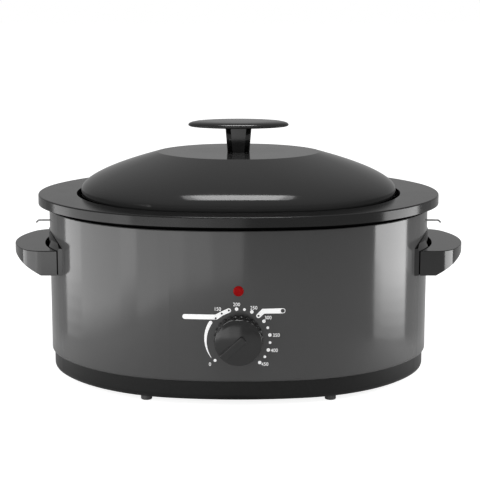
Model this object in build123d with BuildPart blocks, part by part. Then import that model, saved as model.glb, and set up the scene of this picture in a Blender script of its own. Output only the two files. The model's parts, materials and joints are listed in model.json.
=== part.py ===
from build123d import *
from math import asin, atan2, cos, degrees, radians, sin, sqrt
import os

# Electric roaster oven: an oval steel body on a plastic base, a lift-out pan with a wide black
# rim, a lift-off domed lid with a centre knob, a heated well, and a thermostat with a front dial.
# Millimetres. +Z is up, -Y is the front with the dial, and the origin is the centre of the oval
# on the table.

# ---------------------------------------------------------------- driving dimensions

# An oval is eight tangent arcs. The radii of its front and end arcs follow from its two half
# sizes by a power each, and a slope ratio says where the front arcs end.

# The rim oval: outline of the pan's rim. Body and base are parallel to it, inside it.
rim_half_length = 190.0
rim_half_width = 139.6
rim_front_power = 2.0553
rim_end_power = 0.8236
rim_slope_ratio = 0.2439

# The mouth oval: outline of the pan's mouth. Bowl, well and lid are parallel to it.
rim_breadth_end = 36.4      # how broad the pan's rim is at the ends
rim_breadth_front = 22.4    # and at the front and the back
mouth_front_power = 2.938
mouth_end_power = 0.3023
mouth_slope_ratio = 0.2116

# Heights, from the table up.
foot_height = 4.4
base_height = 17.8
body_height = 137.6
rim_gap = 4.55              # dark gap between the body's top edge and the pan's rim
rim_depth = 9.14            # height of the rim's turned-down edge

# Body shell of painted sheet steel.
body_inset = 10.13          # from the rim oval in to the body's wall
body_sheet = 1.0
body_top_radius = 1.2
body_bottom_radius = 3.0
body_top_lip = 7.9          # turned in at the top, where the well's flange rests
body_bottom_lip = 6.5       # turned in at the bottom, on the base's edge

# Moulded base.
base_inset = 12.5
base_wall = 2.6
base_floor = 2.5
base_radius = 5.7
base_step = 3.0             # the base's edge inside the body's turned-in lip
base_step_height = 5.0
vent_length = 34.0
vent_width = 4.0
vent_pitch = 10.0
vent_rows = 5
vent_x = 48.0

# Feet.
foot_x = 83.4
foot_setback = 35.3         # from the rim's front and back in to the feet
foot_radius = 5.1
foot_neck_radius = 2.5
foot_barb_radius = 3.4
foot_barb_height = 2.0
foot_play = 0.1
foot_chamfer = 0.5

# Posts that tie the base to the well, and their screws.
post_x = 82.0
post_y = 46.0
post_radius = 5.5
post_tip_radius = 4.0
post_boss_radius = 9.0
post_boss_height = 9.0
screw_radius = 2.0
screw_head_radius = 3.6
screw_head_height = 2.4
screw_length = 14.0
screw_play = 0.1
cross_width = 0.9           # the cross cut in a screw's head
cross_depth = 1.2

# Heated well of aluminised sheet.
well_sheet = 1.0
well_play = 3.0             # air between the pan's bowl and the well
well_corner_radius = 18.0
well_rim_inset = 13.1       # from the rim oval in to the well's upright rim
shield_inset = 24.0
shield_sheet = 0.8
shield_drop = 14.0          # from the well's floor down to the heat shield
shield_lip = 6.0
shield_play = 0.2

# Heating band, its strap and the insulation round the well.
band_thickness = 1.2
band_drop = 16.0            # from the well's flange down to the band
band_rise = 18.7            # from the well's floor up to the band
strap_thickness = 0.6
strap_height = 10.0
tab_width = 8.0
tab_length = 10.0
tab_x = 22.0
blanket_play = 0.2
blanket_thickness = 4.4
blanket_margin = 3.0        # how far the blanket reaches past the band, up and down

# Lift-out pan.
pan_sheet = 1.5
rim_edge_radius = 1.2
ledge_depth = 8.0           # from the rim's top down to the ledge that carries the lid
ledge_width = 7.0
pan_draft = 6.0             # how much further in the bowl's foot is than its mouth
pan_corner_radius = 16.0
pan_floor_play = 3.0        # air between the pan's floor and the well's

# Domed lid.
lid_play = 0.8              # between the lid's brim and the wall round the ledge
lid_brim = 3.6
lid_sheet = 1.2
lid_skirt = 12.5            # upright part, from the ledge to the start of the dome
dome_rise = 34.0
dome_power = 0.6            # the dome climbs as the inset fraction to this power
dome_sections = 12
plateau_half_length = 76.5
plateau_half_width = 55.4
plateau_front_power = 1.95
plateau_end_power = 1.2
plateau_slope_ratio = 0.136

# Lid knob: an oval cap on a tapered post, with a brass insert and a screw from below.
cap_half_length = 47.5
cap_half_width = 24.0
cap_top = 30.2              # all knob heights are above the lid's flat top
cap_flat = 16.0             # half length of the flat middle of the cap's top
cap_rim = 25.2
cap_underside = 21.8
cap_rim_radius = 2.1
post_foot_length = 21.0
post_foot_width = 17.0
post_head_length = 24.8
post_head_width = 20.0
post_corner = 5.0
insert_radius = 4.0
insert_length = 14.0
lid_screw_radius = 2.5
lid_screw_reach = 12.0
lid_screw_play = 0.05
lid_screw_head_radius = 4.6
lid_screw_head_height = 3.0
lid_screw_head_edge = 1.0
washer_radius = 8.0
washer_thickness = 1.0

# Dial and thermostat on the front.
dial_height = 62.5          # dial axis above the table
dial_gap = 1.0
dial_radius = 22.0
dial_face_radius = 20.8
dial_skirt = 5.0
dial_depth = 17.3           # from the wall to the dial's face
dial_shell = 2.2
dial_flutes = 24
dial_flute_radius = 1.1
dial_edge_radius = 1.0
dial_crown_radius = 90.0    # the face is a little domed
dial_crown = 2.4            # how much lower its edge is than its middle
pointer_width = 7.0
pointer_height = 2.65
pointer_tail = 7.0
pointer_edge = 0.4
pointer_angle = 222.3       # where the pointer aims at rest, from +X towards +Z, in degrees
hub_radius = 6.0
hub_length = 12.0
shaft_radius = 3.0
shaft_play = 0.05
shaft_flat = 1.0
shaft_flat_length = 11.0
shaft_reach = 13.0          # how far the shaft runs into the thermostat
spring_thickness = 0.7
spring_width = 2.4
spring_length = 9.0
thermostat_width = 26.0
thermostat_depth = 16.0
thermostat_height = 22.0
thermostat_plate_width = 38.0
thermostat_plate_sheet = 1.0
thermostat_screw_x = 14.0
thermostat_screw_radius = 1.5
thermostat_screw_head = 2.7
thermostat_screw_head_height = 1.6
shaft_hole_radius = 4.5
blade_width = 6.3
blade_thickness = 0.8
blade_length = 8.0
blade_x = 7.0
link_sheet = 0.8
link_width = 12.0
link_gap = 2.5              # from the thermostat's top up to the well's floor
link_foot = 10.0
link_reach = 50.0

# Indicator lamp above the dial.
lamp_rise = 43.3            # above the dial's axis
lens_radius = 4.65
lens_stem_radius = 3.6
lens_stem_length = 5.5
lens_dome = 1.4
lens_edge_radius = 1.2
lens_wall = 0.9
lens_play = 0.1
lamp_radius = 2.3
lamp_length = 4.2
lens_clip_radius = 5.4
lens_clip_thickness = 1.2
lead_radius = 0.45
lead_bend = 1.0
lead_pitch = 2.4            # between the lamp's two leads where they leave the lamp
lead_spread = 19.0          # and where they reach the thermostat

# Mains inlet at the back.
gland_height = 44.0         # gland axis above the table
gland_bore_radius = 3.9
gland_throat_radius = 4.6   # the wider bore from inside, which ends halfway through the flange
gland_radius = 7.4
gland_flange_radius = 10.0
gland_flange = 3.0
gland_reach = 15.8          # how far it stands out of the body
gland_inner = 10.0
gland_edge = 1.2
nut_radius = 10.5
nut_thickness = 4.0
gland_play = 0.1
block_length = 38.0
block_width = 18.0
block_height = 15.0
block_setback = 55.6        # from the rim's back in to the terminal block
block_pitch = 13.0
block_screw_radius = 2.6
block_screw_height = 1.5
fuse_radius = 1.7
fuse_length = 24.0
fuse_y = 20.0
fuse_clip_sheet = 0.8
fuse_clip_width = 8.0
fuse_clip_foot = 7.0
wire_radius = 1.1
wire_bend = 7.0
wire_rest = 0.3             # between a wire that lies on the base and the base's floor

# Side handles.
handle_half_width = 55.5
handle_out = 33.13          # how far the grip stands out of the wall
handle_end_radius = 90.0
handle_corner_radius = 22.0
handle_drop = 33.1          # from the body's top down to the grip's top
handle_height = 23.3
handle_slot = 1.1           # between the pad's two cheeks and the grip
handle_slant_run = 30.0     # the sloping part of the grip's underside
handle_slant_rise = 16.5
handle_edge = 0.8
pad_plate = 0.8             # the pad is a thin plate on the wall
cheek_thickness = 3.4       # with a thick cheek at each end, where the grip is screwed on
cheek_width = 22.5
cheek_bevel = 6.0           # how far the cheek's top slopes up to the plate
pad_rise = 12.3             # from the grip's top up to the pad's
pad_flat_half = 22.0
pad_shoulder_radius = 60.0
handle_screw_y = 42.0
handle_screw_rise = 10.6    # above the grip's underside
handle_screw_radius = 2.5
handle_screw_reach = 9.0
handle_screw_head_radius = 4.8
handle_screw_head_height = 3.0
handle_boss_radius = 6.0

# Wire hooks above the handles.
hook_rise = 6.6             # above the pad's top
hook_wire_radius = 0.8
hook_reach = 11.3           # straight part outside the wall
hook_drop = 2.3
hook_bend = 2.0
hook_inner = 4.0
hook_leg = 9.0

# ---------------------------------------------------------------- derived heights and places

mouth_half_length = rim_half_length - rim_breadth_end
mouth_half_width = rim_half_width - rim_breadth_front
foot_y = rim_half_width - foot_setback
block_y = rim_half_width - block_setback
base_top = foot_height + base_height
body_top = base_top + body_height
rim_bottom = body_top + rim_gap
rim_top = rim_bottom + rim_depth
well_rim_top = rim_top - pan_sheet
ledge_top = rim_top - ledge_depth
skirt_top = ledge_top + lid_skirt
lid_top = skirt_top + dome_rise
base_floor_top = foot_height + base_floor
post_foot = foot_height + post_boss_height
thermostat_top = dial_height + thermostat_height / 2
well_floor = thermostat_top + link_gap
pan_floor = well_floor + well_sheet + pan_floor_play
shield_top = well_floor - shield_drop
well_flange = body_top + well_sheet
bowl_inset = ledge_width - pan_sheet
well_wall_inset = bowl_inset - well_play
band_inset = well_wall_inset - well_sheet
band_top = well_flange - band_drop
band_bottom = well_floor + band_rise
strap_bottom = (band_top + band_bottom - strap_height) / 2
blanket_inset = band_inset - band_thickness - strap_thickness - blanket_play
lid_inset = lid_play + lid_brim
lamp_height = dial_height + lamp_rise
handle_top = body_top - handle_drop
handle_bottom = handle_top - handle_height
handle_screw_z = handle_bottom + handle_screw_rise
pad_top = handle_top + pad_rise
hook_height = pad_top + hook_rise


def front_arc(half_length, half_width, power):
    """Radius of an oval's long arcs."""
    return half_length * (half_length / half_width) ** power


def end_arc(half_length, half_width, power):
    """Radius of an oval's end arcs."""
    return half_width * (half_width / half_length) ** power


rim_front_radius = front_arc(rim_half_length, rim_half_width, rim_front_power)
rim_end_radius = end_arc(rim_half_length, rim_half_width, rim_end_power)
mouth_front_radius = front_arc(mouth_half_length, mouth_half_width, mouth_front_power)


def wall_y(x, inset):
    """Distance of the rim oval's long arc, moved in by inset, from the middle plane at x."""
    centre = rim_half_width - rim_front_radius
    return centre + sqrt((rim_front_radius - inset) ** 2 - x**2)


def well_y(x, inset):
    """Distance of the mouth oval's long arc, moved in by inset, from the middle plane at x."""
    centre = mouth_half_width - mouth_front_radius
    return centre + sqrt((mouth_front_radius - inset) ** 2 - x**2)


def end_axis(side, y, height):
    """A plane in the middle of an end arc, facing square through the wall where the wall is at y."""
    lean = asin(y / (rim_end_radius - body_inset))
    centre = side * (rim_half_length - rim_end_radius)
    return Plane(origin=(centre, 0, height), x_dir=(0, 0, 1), z_dir=(side * cos(lean), sin(lean), 0))


def draw_oval(half_length, half_width, form, inset, mode):
    """Add an oval of eight tangent arcs, moved in by inset, to the open sketch."""
    front_power, end_power, slope_ratio = form
    front_radius = front_arc(half_length, half_width, front_power)
    end_radius = end_arc(half_length, half_width, end_power)
    lean = atan2(slope_ratio * half_width, half_length)
    splay = degrees(lean)
    outward = Vector(sin(lean), cos(lean))
    front_centre = Vector(0, half_width - front_radius)
    end_centre = Vector(half_length - end_radius, 0)
    reach = front_centre + outward * front_radius - end_centre
    shoulder_radius = (reach.dot(reach) - end_radius**2) / (2 * (reach.dot(outward) - end_radius))
    shoulder = front_centre + outward * (front_radius - shoulder_radius)
    end_angle = degrees(atan2(end_centre.Y - shoulder.Y, end_centre.X - shoulder.X))
    shoulder_angle = 90 - splay - end_angle
    front_inner = front_radius - inset
    end_inner = end_radius - inset
    with BuildLine() as outline:
        for side in (1, -1):
            CenterArc((0, side * front_centre.Y), front_inner, side * 90 - splay, 2 * splay)
            CenterArc((side * end_centre.X, 0), end_inner, 90 - side * 90 - end_angle, 2 * end_angle)
        for x, y, start in (
            (1, 1, end_angle),
            (-1, 1, 90 + splay),
            (-1, -1, 180 + end_angle),
            (1, -1, 270 + splay),
        ):
            middle = (x * shoulder.X, y * shoulder.Y)
            CenterArc(middle, shoulder_radius - inset, start, shoulder_angle)
    make_face(outline.edges(), mode=mode)


def rim_oval(inset, mode=Mode.ADD):
    """The rim oval moved in by inset."""
    form = (rim_front_power, rim_end_power, rim_slope_ratio)
    draw_oval(rim_half_length, rim_half_width, form, inset, mode)


def mouth_oval(inset, mode=Mode.ADD):
    """The mouth oval moved in by inset."""
    form = (mouth_front_power, mouth_end_power, mouth_slope_ratio)
    draw_oval(mouth_half_length, mouth_half_width, form, inset, mode)


def between(start, end, fraction):
    """The value a fraction of the way from start to end."""
    return start + (end - start) * fraction


def dome_oval(fraction, inset):
    """A level outline of the dome: fraction 0 is at its skirt and 1 at the edge of its flat top."""
    half_length = between(mouth_half_length - lid_inset, plateau_half_length, fraction)
    half_width = between(mouth_half_width - lid_inset, plateau_half_width, fraction)
    front_power = between(mouth_front_power, plateau_front_power, fraction)
    end_power = between(mouth_end_power, plateau_end_power, fraction)
    slope_ratio = between(mouth_slope_ratio, plateau_slope_ratio, fraction)
    draw_oval(half_length, half_width, (front_power, end_power, slope_ratio), inset, Mode.ADD)


def ring(oval, outer, inner, bottom, top):
    """Add a level oval ring between two insets and two heights to the open part."""
    with BuildSketch(Plane.XY.offset(bottom)) as section:
        oval(outer)
        oval(inner, mode=Mode.SUBTRACT)
    extrude(section.sketch, amount=top - bottom)


def dome(inset, drop):
    """Add the solid dome over its skirt to the open part, made smaller by inset and lowered by drop."""
    with BuildSketch(Plane.XY.offset(ledge_top)) as skirt:
        dome_oval(0, inset)
    extrude(skirt.sketch, amount=lid_skirt - drop)
    levels = []
    for step in range(dome_sections + 1):
        fraction = (step / dome_sections) ** 2
        with BuildSketch(Plane.XY.offset(skirt_top - drop + dome_rise * fraction**dome_power)) as level:
            dome_oval(fraction, inset)
        levels.append(level.sketch)
    loft(levels)


def save(piece, name):
    """Label a finished piece and write its STEP file."""
    piece.part.label = name
    export_step(piece.part, f"parts/{name}.step")


os.makedirs("parts", exist_ok=True)

# ---------------------------------------------------------------- outer body

with BuildPart() as body_cavity:
    with BuildSketch(Plane.XY.offset(base_top + body_sheet)):
        rim_oval(body_inset + body_sheet)
    extrude(amount=body_height - 2 * body_sheet)
    fillet(faces().sort_by(Axis.Z)[0].edges(), body_bottom_radius - body_sheet)
    fillet(faces().sort_by(Axis.Z)[-1].edges(), body_top_radius - body_sheet)

dial_axis = Plane(origin=(0, 0, dial_height), x_dir=(1, 0, 0), z_dir=(0, -1, 0))
handle_axes = [
    end_axis(side, y, handle_screw_z) for side in (1, -1) for y in (handle_screw_y, -handle_screw_y)
]
lamp_axis = Plane(origin=(0, 0, lamp_height), x_dir=(1, 0, 0), z_dir=(0, -1, 0))
gland_axis = Plane(origin=(0, 0, gland_height), x_dir=(-1, 0, 0), z_dir=(0, 1, 0))

with BuildPart() as outer_body:
    with BuildSketch(Plane.XY.offset(base_top)):
        rim_oval(body_inset)
    extrude(amount=body_height)
    fillet(faces().sort_by(Axis.Z)[0].edges(), body_bottom_radius)
    fillet(faces().sort_by(Axis.Z)[-1].edges(), body_top_radius)
    add(body_cavity.part, mode=Mode.SUBTRACT)
    with BuildSketch(Plane.XY.offset(body_top)):
        rim_oval(body_inset + body_top_lip)
    extrude(amount=-body_height / 2, mode=Mode.SUBTRACT)
    with BuildSketch(Plane.XY.offset(base_top)):
        rim_oval(body_inset + body_bottom_lip)
    extrude(amount=body_height / 2, mode=Mode.SUBTRACT)
    with BuildSketch(dial_axis):
        Circle(shaft_hole_radius)
        with Locations((thermostat_screw_x, 0), (-thermostat_screw_x, 0)):
            Circle(thermostat_screw_radius + screw_play)
    extrude(amount=rim_half_width, mode=Mode.SUBTRACT)
    with BuildSketch(lamp_axis):
        Circle(lens_stem_radius + lens_play)
    extrude(amount=rim_half_width, mode=Mode.SUBTRACT)
    with BuildSketch(gland_axis):
        Circle(gland_radius + gland_play)
    extrude(amount=rim_half_width, mode=Mode.SUBTRACT)
    for axis in handle_axes:
        with BuildSketch(axis):
            Circle(handle_screw_radius + screw_play)
        extrude(amount=rim_end_radius, mode=Mode.SUBTRACT)
    with BuildSketch(Plane.YZ):
        with Locations((0, hook_height)):
            Circle(hook_wire_radius + screw_play)
    extrude(amount=rim_half_length, both=True, mode=Mode.SUBTRACT)
save(outer_body, "outer_body")

# ---------------------------------------------------------------- base, feet and posts

post_places = [(x * post_x, y * post_y) for x in (1, -1) for y in (1, -1)]
foot_places = [(x * foot_x, y * foot_y) for x in (1, -1) for y in (1, -1)]

with BuildPart() as base_cavity:
    with BuildSketch(Plane.XY.offset(base_floor_top)):
        rim_oval(base_inset + base_wall)
    extrude(amount=base_height)
    fillet(faces().sort_by(Axis.Z)[0].edges(), base_radius - base_wall)

with BuildPart() as base:
    with BuildSketch(Plane.XY.offset(foot_height)):
        rim_oval(base_inset)
    extrude(amount=base_height)
    fillet(faces().sort_by(Axis.Z)[0].edges(), base_radius)
    add(base_cavity.part, mode=Mode.SUBTRACT)
    # the collar that stands inside the body's turned-in bottom lip
    with BuildSketch(Plane.XY.offset(base_top - base_step_height)):
        rim_oval(body_inset + body_bottom_lip + foot_play)
        rim_oval(body_inset + body_bottom_lip + base_step, mode=Mode.SUBTRACT)
    extrude(amount=base_step_height + base_step)
    with BuildSketch(Plane.XY.offset(base_top - base_step_height)):
        rim_oval(base_inset + base_wall / 2)
        rim_oval(body_inset + body_bottom_lip + base_step, mode=Mode.SUBTRACT)
    extrude(amount=base_wall)
    with BuildSketch(Plane.XY.offset(foot_height)):
        with Locations(*post_places):
            Circle(post_boss_radius)
    extrude(amount=post_boss_height)
    with BuildSketch(Plane.XY.offset(foot_height)):
        with Locations(*post_places):
            Circle(screw_radius + screw_play)
        with Locations(*foot_places):
            Circle(foot_neck_radius + foot_play)
        with GridLocations(2 * vent_x, vent_pitch, 2, vent_rows):
            SlotOverall(vent_length, vent_width)
    extrude(amount=post_boss_height, mode=Mode.SUBTRACT)
    with BuildSketch(Plane.XY.offset(foot_height)):
        with Locations(*post_places):
            Circle(screw_head_radius + screw_play)
    extrude(amount=post_boss_height - base_floor, mode=Mode.SUBTRACT)
save(base, "base")

with BuildPart() as feet:
    with BuildSketch(Plane.XY):
        with Locations(*foot_places):
            Circle(foot_radius)
    extrude(amount=foot_height)
    chamfer(faces().sort_by(Axis.Z)[:4].edges(), foot_chamfer)
    with BuildSketch(Plane.XY.offset(foot_height)):
        with Locations(*foot_places):
            Circle(foot_neck_radius)
    extrude(amount=base_floor + foot_play)
    with BuildSketch(Plane.XY.offset(base_floor_top + foot_play)):
        with Locations(*foot_places):
            Circle(foot_barb_radius)
    extrude(amount=foot_barb_height, taper=20)
save(feet, "feet")

with BuildPart() as support_posts:
    with BuildSketch(Plane.XY.offset(post_foot)):
        with Locations(*post_places):
            Circle(post_radius)
    extrude(amount=shield_top - shield_sheet - post_foot)
    with BuildSketch(Plane.XY.offset(shield_top - shield_sheet)):
        with Locations(*post_places):
            Circle(post_tip_radius)
    extrude(amount=well_floor - shield_top + shield_sheet)
    with BuildSketch(Plane.XY.offset(post_foot)):
        with Locations(*post_places):
            Circle(screw_radius + screw_play)
    extrude(amount=screw_length, mode=Mode.SUBTRACT)
save(support_posts, "support_posts")

screw_seat = post_foot - base_floor
with BuildPart() as base_screws:
    with BuildSketch(Plane.XY.offset(screw_seat - screw_head_height)):
        with Locations(*post_places):
            Circle(screw_head_radius)
    extrude(amount=screw_head_height)
    with BuildSketch(Plane.XY.offset(screw_seat)):
        with Locations(*post_places):
            Circle(screw_radius)
    extrude(amount=screw_length)
    with BuildSketch(Plane.XY.offset(screw_seat - screw_head_height)):
        with Locations(*post_places):
            SlotOverall(screw_head_radius, cross_width)
            SlotOverall(screw_head_radius, cross_width, rotation=90)
    extrude(amount=cross_depth, mode=Mode.SUBTRACT)
save(base_screws, "base_screws")

# ---------------------------------------------------------------- well, heat shield and heating

with BuildPart() as well_cavity:
    with BuildSketch(Plane.XY.offset(well_floor + well_sheet)):
        mouth_oval(well_wall_inset)
    extrude(amount=rim_top - well_floor)
    fillet(faces().sort_by(Axis.Z)[0].edges(), well_corner_radius - well_sheet)

with BuildPart() as well:
    with BuildSketch(Plane.XY.offset(well_floor)):
        mouth_oval(band_inset)
    extrude(amount=body_top - well_floor)
    fillet(faces().sort_by(Axis.Z)[0].edges(), well_corner_radius)
    with BuildSketch(Plane.XY.offset(body_top)):
        rim_oval(well_rim_inset)
    extrude(amount=well_sheet)
    ring(rim_oval, well_rim_inset, well_rim_inset + well_sheet, well_flange, well_rim_top)
    add(well_cavity.part, mode=Mode.SUBTRACT)
save(well, "well")

with BuildPart() as heat_shield:
    with BuildSketch(Plane.XY.offset(shield_top - shield_sheet)):
        mouth_oval(shield_inset)
    extrude(amount=shield_sheet)
    ring(mouth_oval, shield_inset, shield_inset + shield_sheet, shield_top, shield_top + shield_lip)
    with BuildSketch(Plane.XY.offset(shield_top - shield_sheet)):
        with Locations(*post_places):
            Circle(post_tip_radius + shield_play)
    extrude(amount=shield_sheet, mode=Mode.SUBTRACT)
save(heat_shield, "heat_shield")

with BuildPart() as heating_band:
    ring(mouth_oval, band_inset - band_thickness, band_inset, band_bottom, band_top)
    # two terminal tabs hang from the band at the back
    with BuildSketch(Plane.XY.offset(band_bottom - tab_length)):
        mouth_oval(band_inset - band_thickness)
        mouth_oval(band_inset, mode=Mode.SUBTRACT)
        with Locations((tab_x, mouth_half_width), (-tab_x, mouth_half_width)):
            Rectangle(tab_width, mouth_half_width, mode=Mode.INTERSECT)
    extrude(amount=tab_length)
save(heating_band, "heating_band")

strap_inset = band_inset - band_thickness
with BuildPart() as band_strap:
    ring(mouth_oval, strap_inset - strap_thickness, strap_inset, strap_bottom, strap_bottom + strap_height)
save(band_strap, "band_strap")

with BuildPart() as insulation:
    blanket_bottom = band_bottom - blanket_margin
    blanket_top = band_top + blanket_margin
    ring(mouth_oval, blanket_inset - blanket_thickness, blanket_inset, blanket_bottom, blanket_top)
save(insulation, "insulation")

# ---------------------------------------------------------------- pan

ledge_bottom = ledge_top - pan_sheet

with BuildPart() as pan_hollow:
    with BuildSketch(Plane.XY.offset(pan_floor + pan_sheet)):
        mouth_oval(ledge_width + pan_draft)
    with BuildSketch(Plane.XY.offset(ledge_top)):
        mouth_oval(ledge_width)
    loft(ruled=True)
    fillet(faces().sort_by(Axis.Z)[0].edges(), pan_corner_radius - pan_sheet)
    with BuildSketch(Plane.XY.offset(ledge_top)):
        mouth_oval(0)
    extrude(amount=ledge_depth)

with BuildPart() as pan_rim:
    with BuildSketch(Plane.XY.offset(rim_bottom)):
        rim_oval(0)
    extrude(amount=rim_depth)
    fillet(faces().sort_by(Axis.Z)[-1].edges(), rim_edge_radius)
    with BuildSketch(Plane.XY.offset(rim_bottom)):
        rim_oval(pan_sheet)
    extrude(amount=rim_depth - pan_sheet, mode=Mode.SUBTRACT)

with BuildPart() as roasting_pan:
    with BuildSketch(Plane.XY.offset(pan_floor)):
        mouth_oval(bowl_inset + pan_draft)
    with BuildSketch(Plane.XY.offset(ledge_bottom)):
        mouth_oval(bowl_inset)
    loft(ruled=True)
    fillet(faces().sort_by(Axis.Z)[0].edges(), pan_corner_radius)
    with BuildSketch(Plane.XY.offset(ledge_bottom)):
        mouth_oval(-pan_sheet)
    extrude(amount=ledge_depth)
    add(pan_rim.part)
    add(pan_hollow.part, mode=Mode.SUBTRACT)
save(roasting_pan, "roasting_pan")

# ---------------------------------------------------------------- lid and its knob

with BuildPart() as lid_hollow:
    dome(lid_sheet, lid_sheet)

with BuildPart() as lid:
    dome(0, 0)
    with BuildSketch(Plane.XY.offset(ledge_top)):
        mouth_oval(lid_play)
    extrude(amount=lid_sheet)
    add(lid_hollow.part, mode=Mode.SUBTRACT)
    with BuildSketch(Plane.XY.offset(lid_top)):
        Circle(lid_screw_radius + screw_play)
    extrude(amount=-2 * lid_sheet, mode=Mode.SUBTRACT)
save(lid, "lid")

cap_edge = cap_half_length - cap_rim_radius
with BuildPart() as lid_cap:
    with BuildSketch(Plane.XZ):
        with BuildLine():
            top_middle = (0, lid_top + cap_top)
            flat_end = (cap_flat, lid_top + cap_top)
            top_edge = (cap_edge, lid_top + cap_rim + cap_rim_radius)
            rim_middle = (cap_half_length, lid_top + cap_rim)
            low_edge = (cap_edge, lid_top + cap_rim - cap_rim_radius)
            low_middle = (0, lid_top + cap_underside)
            Line(top_middle, flat_end)
            TangentArc(flat_end, top_edge, tangent=(1, 0))
            ThreePointArc(top_edge, rim_middle, low_edge)
            TangentArc(low_middle, low_edge, tangent=(1, 0))
            Line(low_middle, top_middle)
        make_face()
    revolve(axis=Axis.Z)
    scale(by=(1, cap_half_width / cap_half_length, 1))

with BuildPart() as lid_handle:
    with BuildSketch(Plane.XY.offset(lid_top)):
        RectangleRounded(post_foot_length, post_foot_width, post_corner)
    with BuildSketch(Plane.XY.offset(lid_top + cap_rim)):
        RectangleRounded(post_head_length, post_head_width, post_corner)
    loft()
    add(lid_cap.part)
    with BuildSketch(Plane.XY.offset(lid_top)):
        Circle(insert_radius)
    extrude(amount=insert_length, mode=Mode.SUBTRACT)
save(lid_handle, "lid_handle")

with BuildPart() as handle_insert:
    with BuildSketch(Plane.XY.offset(lid_top)):
        Circle(insert_radius)
        Circle(lid_screw_radius + lid_screw_play, mode=Mode.SUBTRACT)
    extrude(amount=insert_length)
save(handle_insert, "handle_insert")

lid_underside = lid_top - lid_sheet
with BuildPart() as lid_washer:
    with BuildSketch(Plane.XY.offset(lid_underside - washer_thickness)):
        Circle(washer_radius)
        Circle(lid_screw_radius + screw_play, mode=Mode.SUBTRACT)
    extrude(amount=washer_thickness)
save(lid_washer, "lid_washer")

head_top = lid_underside - washer_thickness
with BuildPart() as lid_screw:
    with BuildSketch(Plane.XY.offset(head_top - lid_screw_head_height)):
        Circle(lid_screw_head_radius)
    extrude(amount=lid_screw_head_height)
    fillet(faces().sort_by(Axis.Z)[0].edges(), lid_screw_head_edge)
    with BuildSketch(Plane.XY.offset(head_top)):
        Circle(lid_screw_radius)
    extrude(amount=lid_sheet + washer_thickness + lid_screw_reach)
    with BuildSketch(Plane.XY.offset(head_top - lid_screw_head_height)):
        SlotOverall(lid_screw_head_radius, cross_width)
        SlotOverall(lid_screw_head_radius, cross_width, rotation=90)
    extrude(amount=cross_depth, mode=Mode.SUBTRACT)
save(lid_screw, "lid_screw")

# ---------------------------------------------------------------- thermostat and dial

wall_front = wall_y(0, body_inset)
# a flat plate touches the curved wall's inside at the plate's two ends
plate_front = wall_y(thermostat_plate_width / 2, body_inset + body_sheet)
plate_back = plate_front - thermostat_plate_sheet
thermostat_back = plate_back - thermostat_depth
blade_middle = -thermostat_back - blade_width
shaft_end = plate_back - shaft_reach
dial_back = wall_front + dial_gap
dial_face = wall_front + dial_depth
shaft_tip = dial_back + hub_length

with BuildPart() as thermostat_plate:
    with BuildSketch(dial_axis.offset(plate_back)):
        RectangleRounded(thermostat_plate_width, thermostat_height, thermostat_screw_radius)
        Circle(shaft_radius + screw_play, mode=Mode.SUBTRACT)
        with Locations((thermostat_screw_x, 0), (-thermostat_screw_x, 0)):
            Circle(thermostat_screw_radius + screw_play, mode=Mode.SUBTRACT)
    extrude(amount=thermostat_plate_sheet)
save(thermostat_plate, "thermostat_plate")

with BuildPart() as thermostat:
    with BuildSketch(dial_axis.offset(thermostat_back)):
        Rectangle(thermostat_width, thermostat_height)
    extrude(amount=thermostat_depth)
    fillet(edges().filter_by(Axis.Y), thermostat_screw_radius)
    with BuildSketch(dial_axis.offset(shaft_end)):
        Circle(shaft_radius + shaft_play)
    extrude(amount=shaft_reach, mode=Mode.SUBTRACT)
    with BuildSketch(dial_axis.offset(plate_back)):
        with Locations((thermostat_screw_x, 0), (-thermostat_screw_x, 0)):
            Circle(thermostat_screw_head)
    extrude(amount=-thermostat_depth / 2, mode=Mode.SUBTRACT)
save(thermostat, "thermostat")

# the flat heads touch the curved wall where they are nearest to the middle
head_seat = wall_y(thermostat_screw_x - thermostat_screw_head, body_inset)
with BuildPart() as thermostat_screws:
    with BuildSketch(dial_axis.offset(head_seat)):
        with Locations((thermostat_screw_x, 0), (-thermostat_screw_x, 0)):
            Circle(thermostat_screw_head)
    extrude(amount=thermostat_screw_head_height)
    with BuildSketch(dial_axis.offset(head_seat)):
        with Locations((thermostat_screw_x, 0), (-thermostat_screw_x, 0)):
            Circle(thermostat_screw_radius)
    extrude(amount=plate_back - head_seat - thermostat_plate_sheet)
save(thermostat_screws, "thermostat_screws")

with BuildPart() as thermostat_blades:
    with BuildSketch(Plane.XY.offset(dial_height - thermostat_height / 2)):
        with Locations((blade_x, blade_middle), (-blade_x, blade_middle)):
            Rectangle(blade_thickness, blade_width)
    extrude(amount=-blade_length)
save(thermostat_blades, "thermostat_blades")

with BuildPart() as thermostat_shaft:
    with BuildSketch(dial_axis.offset(shaft_end)):
        Circle(shaft_radius)
    extrude(amount=shaft_tip - shaft_end)
    with BuildSketch(dial_axis.offset(shaft_tip)):
        with Locations((0, shaft_radius)):
            Rectangle(2 * shaft_radius, 2 * shaft_flat)
    extrude(amount=-shaft_flat_length, mode=Mode.SUBTRACT)
save(thermostat_shaft, "thermostat_shaft")

with BuildPart() as shaft_spring:
    with BuildSketch(dial_axis.offset(shaft_tip)):
        with Locations((0, shaft_radius - shaft_flat + spring_thickness / 2)):
            Rectangle(spring_width, spring_thickness)
    extrude(amount=-spring_length)
save(shaft_spring, "shaft_spring")

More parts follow.
